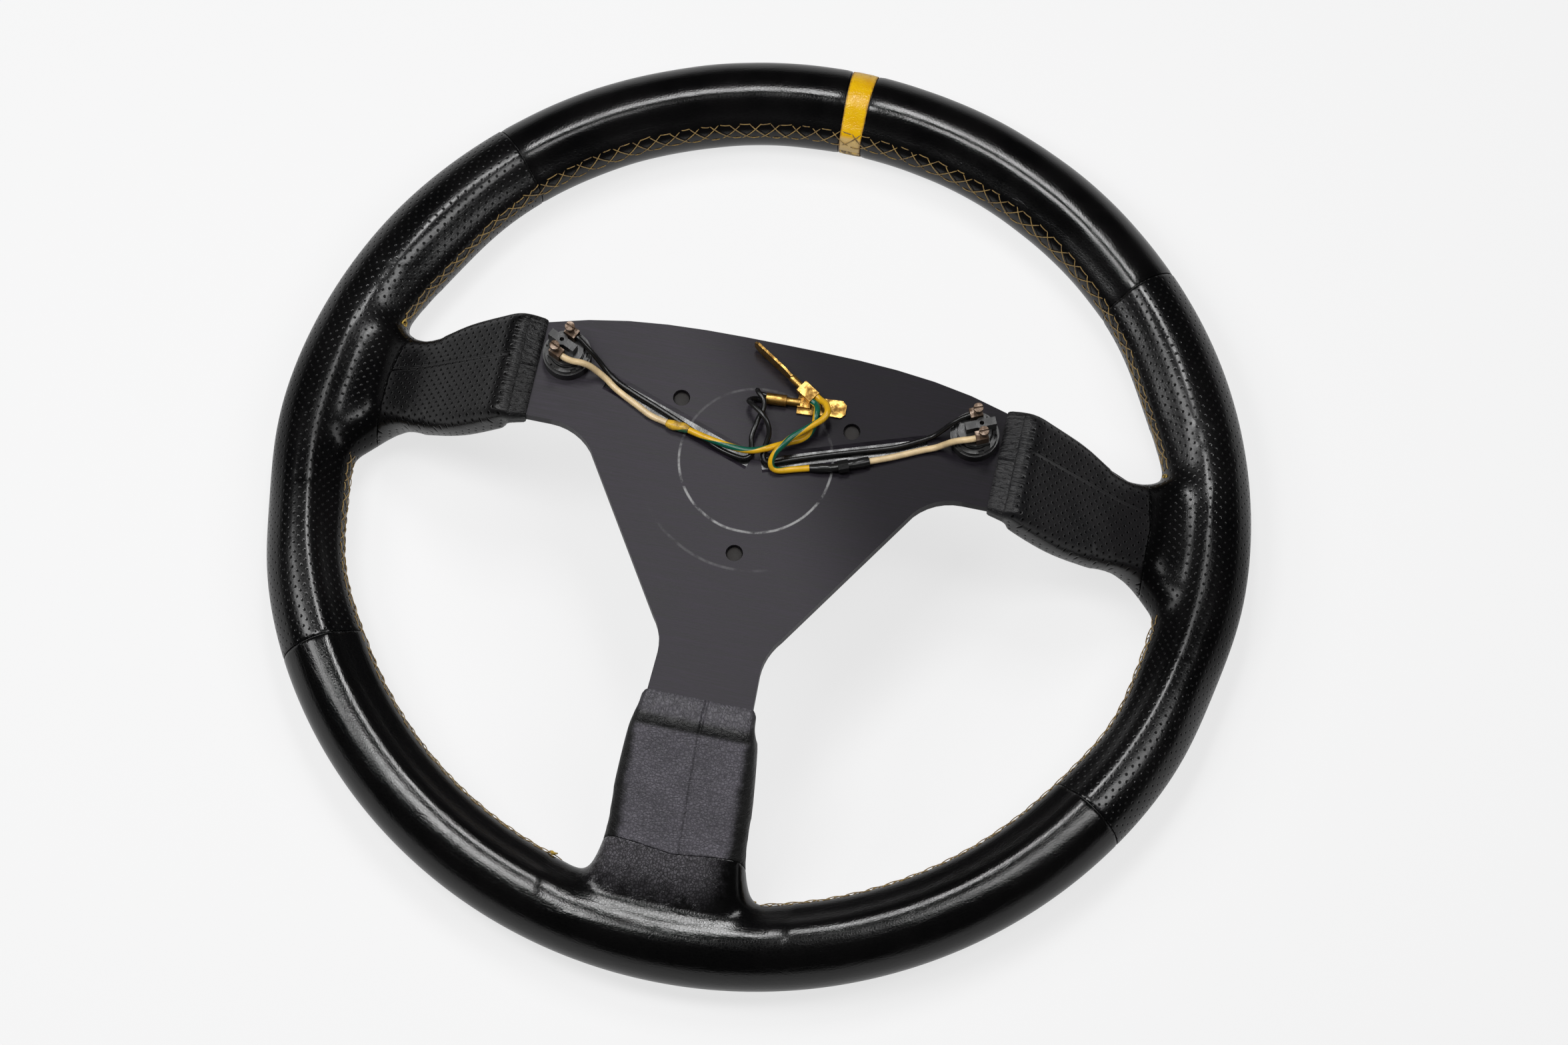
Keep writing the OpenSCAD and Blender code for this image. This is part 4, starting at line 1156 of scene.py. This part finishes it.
make_wrap("left", TOP_LEFT, LOW_LEFT, SEAM_SIDE, grip_form,
          ("left_sleeve", "left_spoke_sleeve", LEFT_SLEEVE_LEATHER),
          ("left_grip", "left_grip_leather", GRIP_LEATHER))
make_wrap("right", LOW_RIGHT - 360, TOP_RIGHT, SEAM_SIDE, grip_form,
          ("right_sleeve", "right_spoke_sleeve", RIGHT_SLEEVE_LEATHER),
          ("right_grip", "right_grip_leather", GRIP_LEATHER))
make_wrap("bottom", LOW_LEFT, LOW_RIGHT, SEAM_LOW, rim_form,
          ("low_sleeve", "bottom_spoke_sleeve", LOW_SLEEVE_LEATHER),
          ("low_panel", "bottom_leather", LOW_PANEL_LEATHER))


def make_padding():
    """The foam under the leather: the rim's ring with the three padded arms run into it."""
    bm = bmesh.new()
    spin_rim(bm, 0, 360, 32, 3.0, 0.0112, True)
    for side, (rows, middle) in SPOKES.items():
        under = []
        for u, z, tilt, half, thick, corner, shift in rows[2:]:
            corner = max(0.4, corner - OVER_FOAM)
            under.append((u, z, tilt, half - OVER_FOAM, thick - OVER_FOAM, corner, shift))
        add_spoke(bm, side, under, middle, 32, 24)
    face_out(bm)
    stand_in(finish_object("foam_padding", bm, FOAM), "foam_core")


make_padding()


def make_seam_folds():
    """The turned-in leather at the foot of each seam round the rim, which closes the joint."""
    bm = bmesh.new()
    depth, fold = 0.0010, 0.00042
    for angle in (TOP_LEFT, TOP_RIGHT, LOW_LEFT, LOW_RIGHT, MARK - MARK_HALF, MARK + MARK_HALF):
        points = []
        for section in range(0, 368, 4):
            form = min(grip_form(angle, section), rim_form(angle, section))
            points.append(rim_place(angle, section, form - depth))
        sweep_tube(bm, points, fold, 8)
    face_out(bm)
    add_piece("seam_folds", bm, SMOOTH_LEATHER, "black_leather")


make_seam_folds()


# ---- stitching
def stitch_surface(angle, section, lift):
    return rim_place(angle, section, grip_form(angle, section) + lift)


def lace(first, last, name, edge=144.0):
    """Cross stitches along the inner side: short bars on both edges, joined by crossing threads."""
    low, pitch = edge + 23.0, math.degrees(STITCH_PITCH / INNER_RADIUS)
    uneven = random.Random(len(name))
    count = max(1, round((last - first) / pitch))
    pitch = (last - first) / count
    bm = bmesh.new()

    def high(angle):
        rise = 9.0 * min(1.0, max(0.0, (abs(angle - 89.0) - 34.0) / 22.0))
        return edge + (rise if edge < 150.0 else 0.0)

    def shifted(end):
        return end[0] + uneven.uniform(-0.22, 0.22), end[1] + uneven.uniform(-1.3, 1.3)

    def thread(a, b, arch):
        a, b = shifted(a), shifted(b)
        points = []
        for k in range(7):
            t = k / 6
            lift = -0.0002 + arch * math.sin(math.pi * t) ** 0.5
            points.append(stitch_surface(a[0] + (b[0] - a[0]) * t, a[1] + (b[1] - a[1]) * t, lift))
        sweep_tube(bm, points, THREAD_RADIUS, 6)

    for k in range(count + 1):
        base = first + k * pitch
        if k < count:
            thread((base + 0.25 * pitch, high(base)), (base + 0.75 * pitch, high(base + pitch)), 0.0004)
            thread((base - 0.25 * pitch, low), (base + 0.25 * pitch, low), 0.0004)
            thread((base + 0.75 * pitch, high(base)), (base + 1.75 * pitch, low), 0.0005)
        if k:
            thread((base + 0.25 * pitch, high(base)), (base - 0.75 * pitch, low), 0.00075)
    face_out(bm)
    add_piece(name, bm, THREAD, "yellow_leather")


lace(17.5, 162.0, "upper_lacing")
lace(181.5, 252.5, "lower_left_lacing", 156.0)
lace(282.0, 357.5, "lower_right_lacing", 156.0)


KNOTS = ((17.0, 157.0), (162.5, 157.0), (181.0, 165.0), (253.0, 163.0), (281.5, 163.0), (358.0, 165.0))


def make_knots():
    """Knots of thread left standing where each lacing ends beside a spoke."""
    bm = bmesh.new()
    uneven = random.Random(5)
    for angle, section in KNOTS:
        for turn in range(3):
            points = []
            for k in range(9):
                a = 2 * math.pi * k / 8
                along = angle + 0.38 * math.cos(a) + uneven.uniform(-0.1, 0.1) + 0.16 * (turn - 1)
                across = section + 4.5 * math.sin(a) * (0.6 + 0.25 * turn)
                lift = 0.0004 + 0.0003 * turn + 0.0002 * math.sin(2 * a)
                points.append(stitch_surface(along, across, lift))
            sweep_tube(bm, points, KNOT_RADIUS, 6)
    face_out(bm)
    add_piece("lacing_knots", bm, KNOT_THREAD, "yellow_leather")


make_knots()


# ---- plugs in the bolt holes
def make_plugs():
    bm = bmesh.new()
    radius, depth = 0.0029, 0.0026
    for angle in (30, 150, 270):
        place = Matrix.Rotation(deg(angle), 4, "Z") @ Matrix.Translation((BOLT_CIRCLE, 0, -0.0031))
        bmesh.ops.create_cone(
            bm, cap_ends=True, segments=40, radius1=radius, radius2=radius, depth=depth, matrix=place)
    edges = [e for e in bm.edges if e.calc_face_angle(0) > 1]
    bmesh.ops.bevel(
        bm, geom=edges, offset=0.0004, segments=3, profile=0.5, affect="EDGES", material=-1)
    add_piece("bolt_hole_plugs", bm, PLUG_RUBBER, "black_plastic", 60)


make_plugs()


# ---- CAD pieces that stay
FINISHES = {
    "spoke_plate": BLACK_PLATE, "rim_hoop": TUBE_METAL, "foam_core": FOAM,
    "button_body": BAKELITE, "ring_nut": BAKELITE, "bezel": BAKELITE, "push_cap": RED_CAP,
    "return_spring": SPRING_STEEL, "terminal_block": BAKELITE, "wire_clamps": OLD_NICKEL,
    "clamp_screws": OLD_NICKEL, "channel_sealant": SEALANT,
    "right_splice_collar": SLEEVING, "flat_spade": BRASS, "upright_spade": BRASS,
}
for node_name, obj in frame["nodes"].items():
    plain = node_name.replace("left_", "").replace("right_", "")
    finish = FINISHES.get(node_name) or FINISHES.get(plain)
    if finish:
        obj.data.materials.clear()
        obj.data.materials.append(finish)

# the return springs shorten when their buttons are pushed
for side in ("left", "right"):
    spring = frame["nodes"][f"{side}_return_spring"]
    corners = [spring.matrix_world @ v.co for v in spring.data.vertices]
    foot, seat = min(c.z for c in corners), max(c.z for c in corners)
    middle = sum(corners, Vector()) / len(corners)
    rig.squash(
        spring, f"{side}_horn_push", axis=(0, 0, 1), anchor=(middle.x, middle.y, seat),
        keep=1 - HORN_TRAVEL / (seat - foot),
    )


# ---- floor and light
def make_floor():
    """A white table that glows evenly for the camera; in reflections and in the light it casts on the wheel it has a
    painted glow, bright below the wheel and fading far behind it.
    """
    bm = bmesh.new()
    bmesh.ops.create_grid(bm, x_segments=2, y_segments=2, size=4.0)
    bmesh.ops.translate(bm, vec=(0, 0, -DISH - GRIP - 0.0002), verts=bm.verts)
    mat, s = new_material("pale table")
    seen = s.add("ShaderNodeLightPath").outputs["Is Camera Ray"]
    s.feed(Base_Color=(0.22, 0.22, 0.222, 1), Roughness=0.9, Emission_Color=(1, 1, 1, 1))
    depth = s.split(s.place())[1]
    # Painted glow: away from the camera the table glows, brighter near the wheel and fading far behind it.
    back = s.times(s.between(depth, 0.18, 0.50, 0.42, 0.14), s.minus(1.0, seen))
    glow = s.plus(back, s.times(seen, 0.73))
    s.feed(Emission_Strength=glow, Specular_IOR_Level=0.1)
    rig.stage(finish_object("table", bm, mat, smooth=False))


def soft_box(name, place, aim, along, width, height, radiance):
    """A softbox of even radiance at a place in metres, its width laid along one direction."""
    back = (Vector(place) - Vector(aim)).normalized()
    right = (Vector(along) - back * back.dot(Vector(along))).normalized()
    turn = Matrix((right, back.cross(right), back)).transposed().to_4x4()
    data = bpy.data.lights.new(name, "AREA")
    data.shape = "RECTANGLE"
    data.size = width
    data.size_y = height
    data.energy = radiance * math.pi * width * height
    new_object(name, data).matrix_world = Matrix.Translation(place) @ turn


def make_world():
    world = bpy.data.worlds.new("studio")
    bpy.context.scene.world = world
    world.use_nodes = True
    s = Shader(world.node_tree)
    parts = s.split(s.add("ShaderNodeTexCoord").outputs["Generated"])
    bright = s.between(parts[2], 0.0, 0.14, 0.22, 0.02)
    seen = s.add("ShaderNodeLightPath").outputs["Is Camera Ray"]
    tone = s.mix(seen, s.grey(bright), (1, 1, 1, 1))
    ground = world.node_tree.nodes["Background"]
    world.node_tree.links.new(tone, ground.inputs["Color"])


make_floor()
make_world()
soft_box("rear_box", (-0.075, 0.42, 0.95), (0, 0, 0), (1, 0, 0), 0.17, 0.32, 16)
soft_box("left_box", (-0.33, -0.12, 0.92), (0, 0, 0), (0.93, -0.3, 0), 0.36, 0.28, 12)
soft_box("far_left_box", (-0.90, -0.03, 0.90), (0, 0, 0), (0.93, -0.3, 0), 0.50, 0.32, 6.5)
soft_box("right_box", (0.50, -0.02, 0.92), (0, 0, 0), (0.95, 0.2, 0), 0.66, 0.24, 6)

with open("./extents.json", "w") as out:
    def plain(box):
        return [[float(x) for x in corner] for corner in box]
    json.dump({"cad": plain(cad_box), "visual": plain(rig.bounds())}, out)
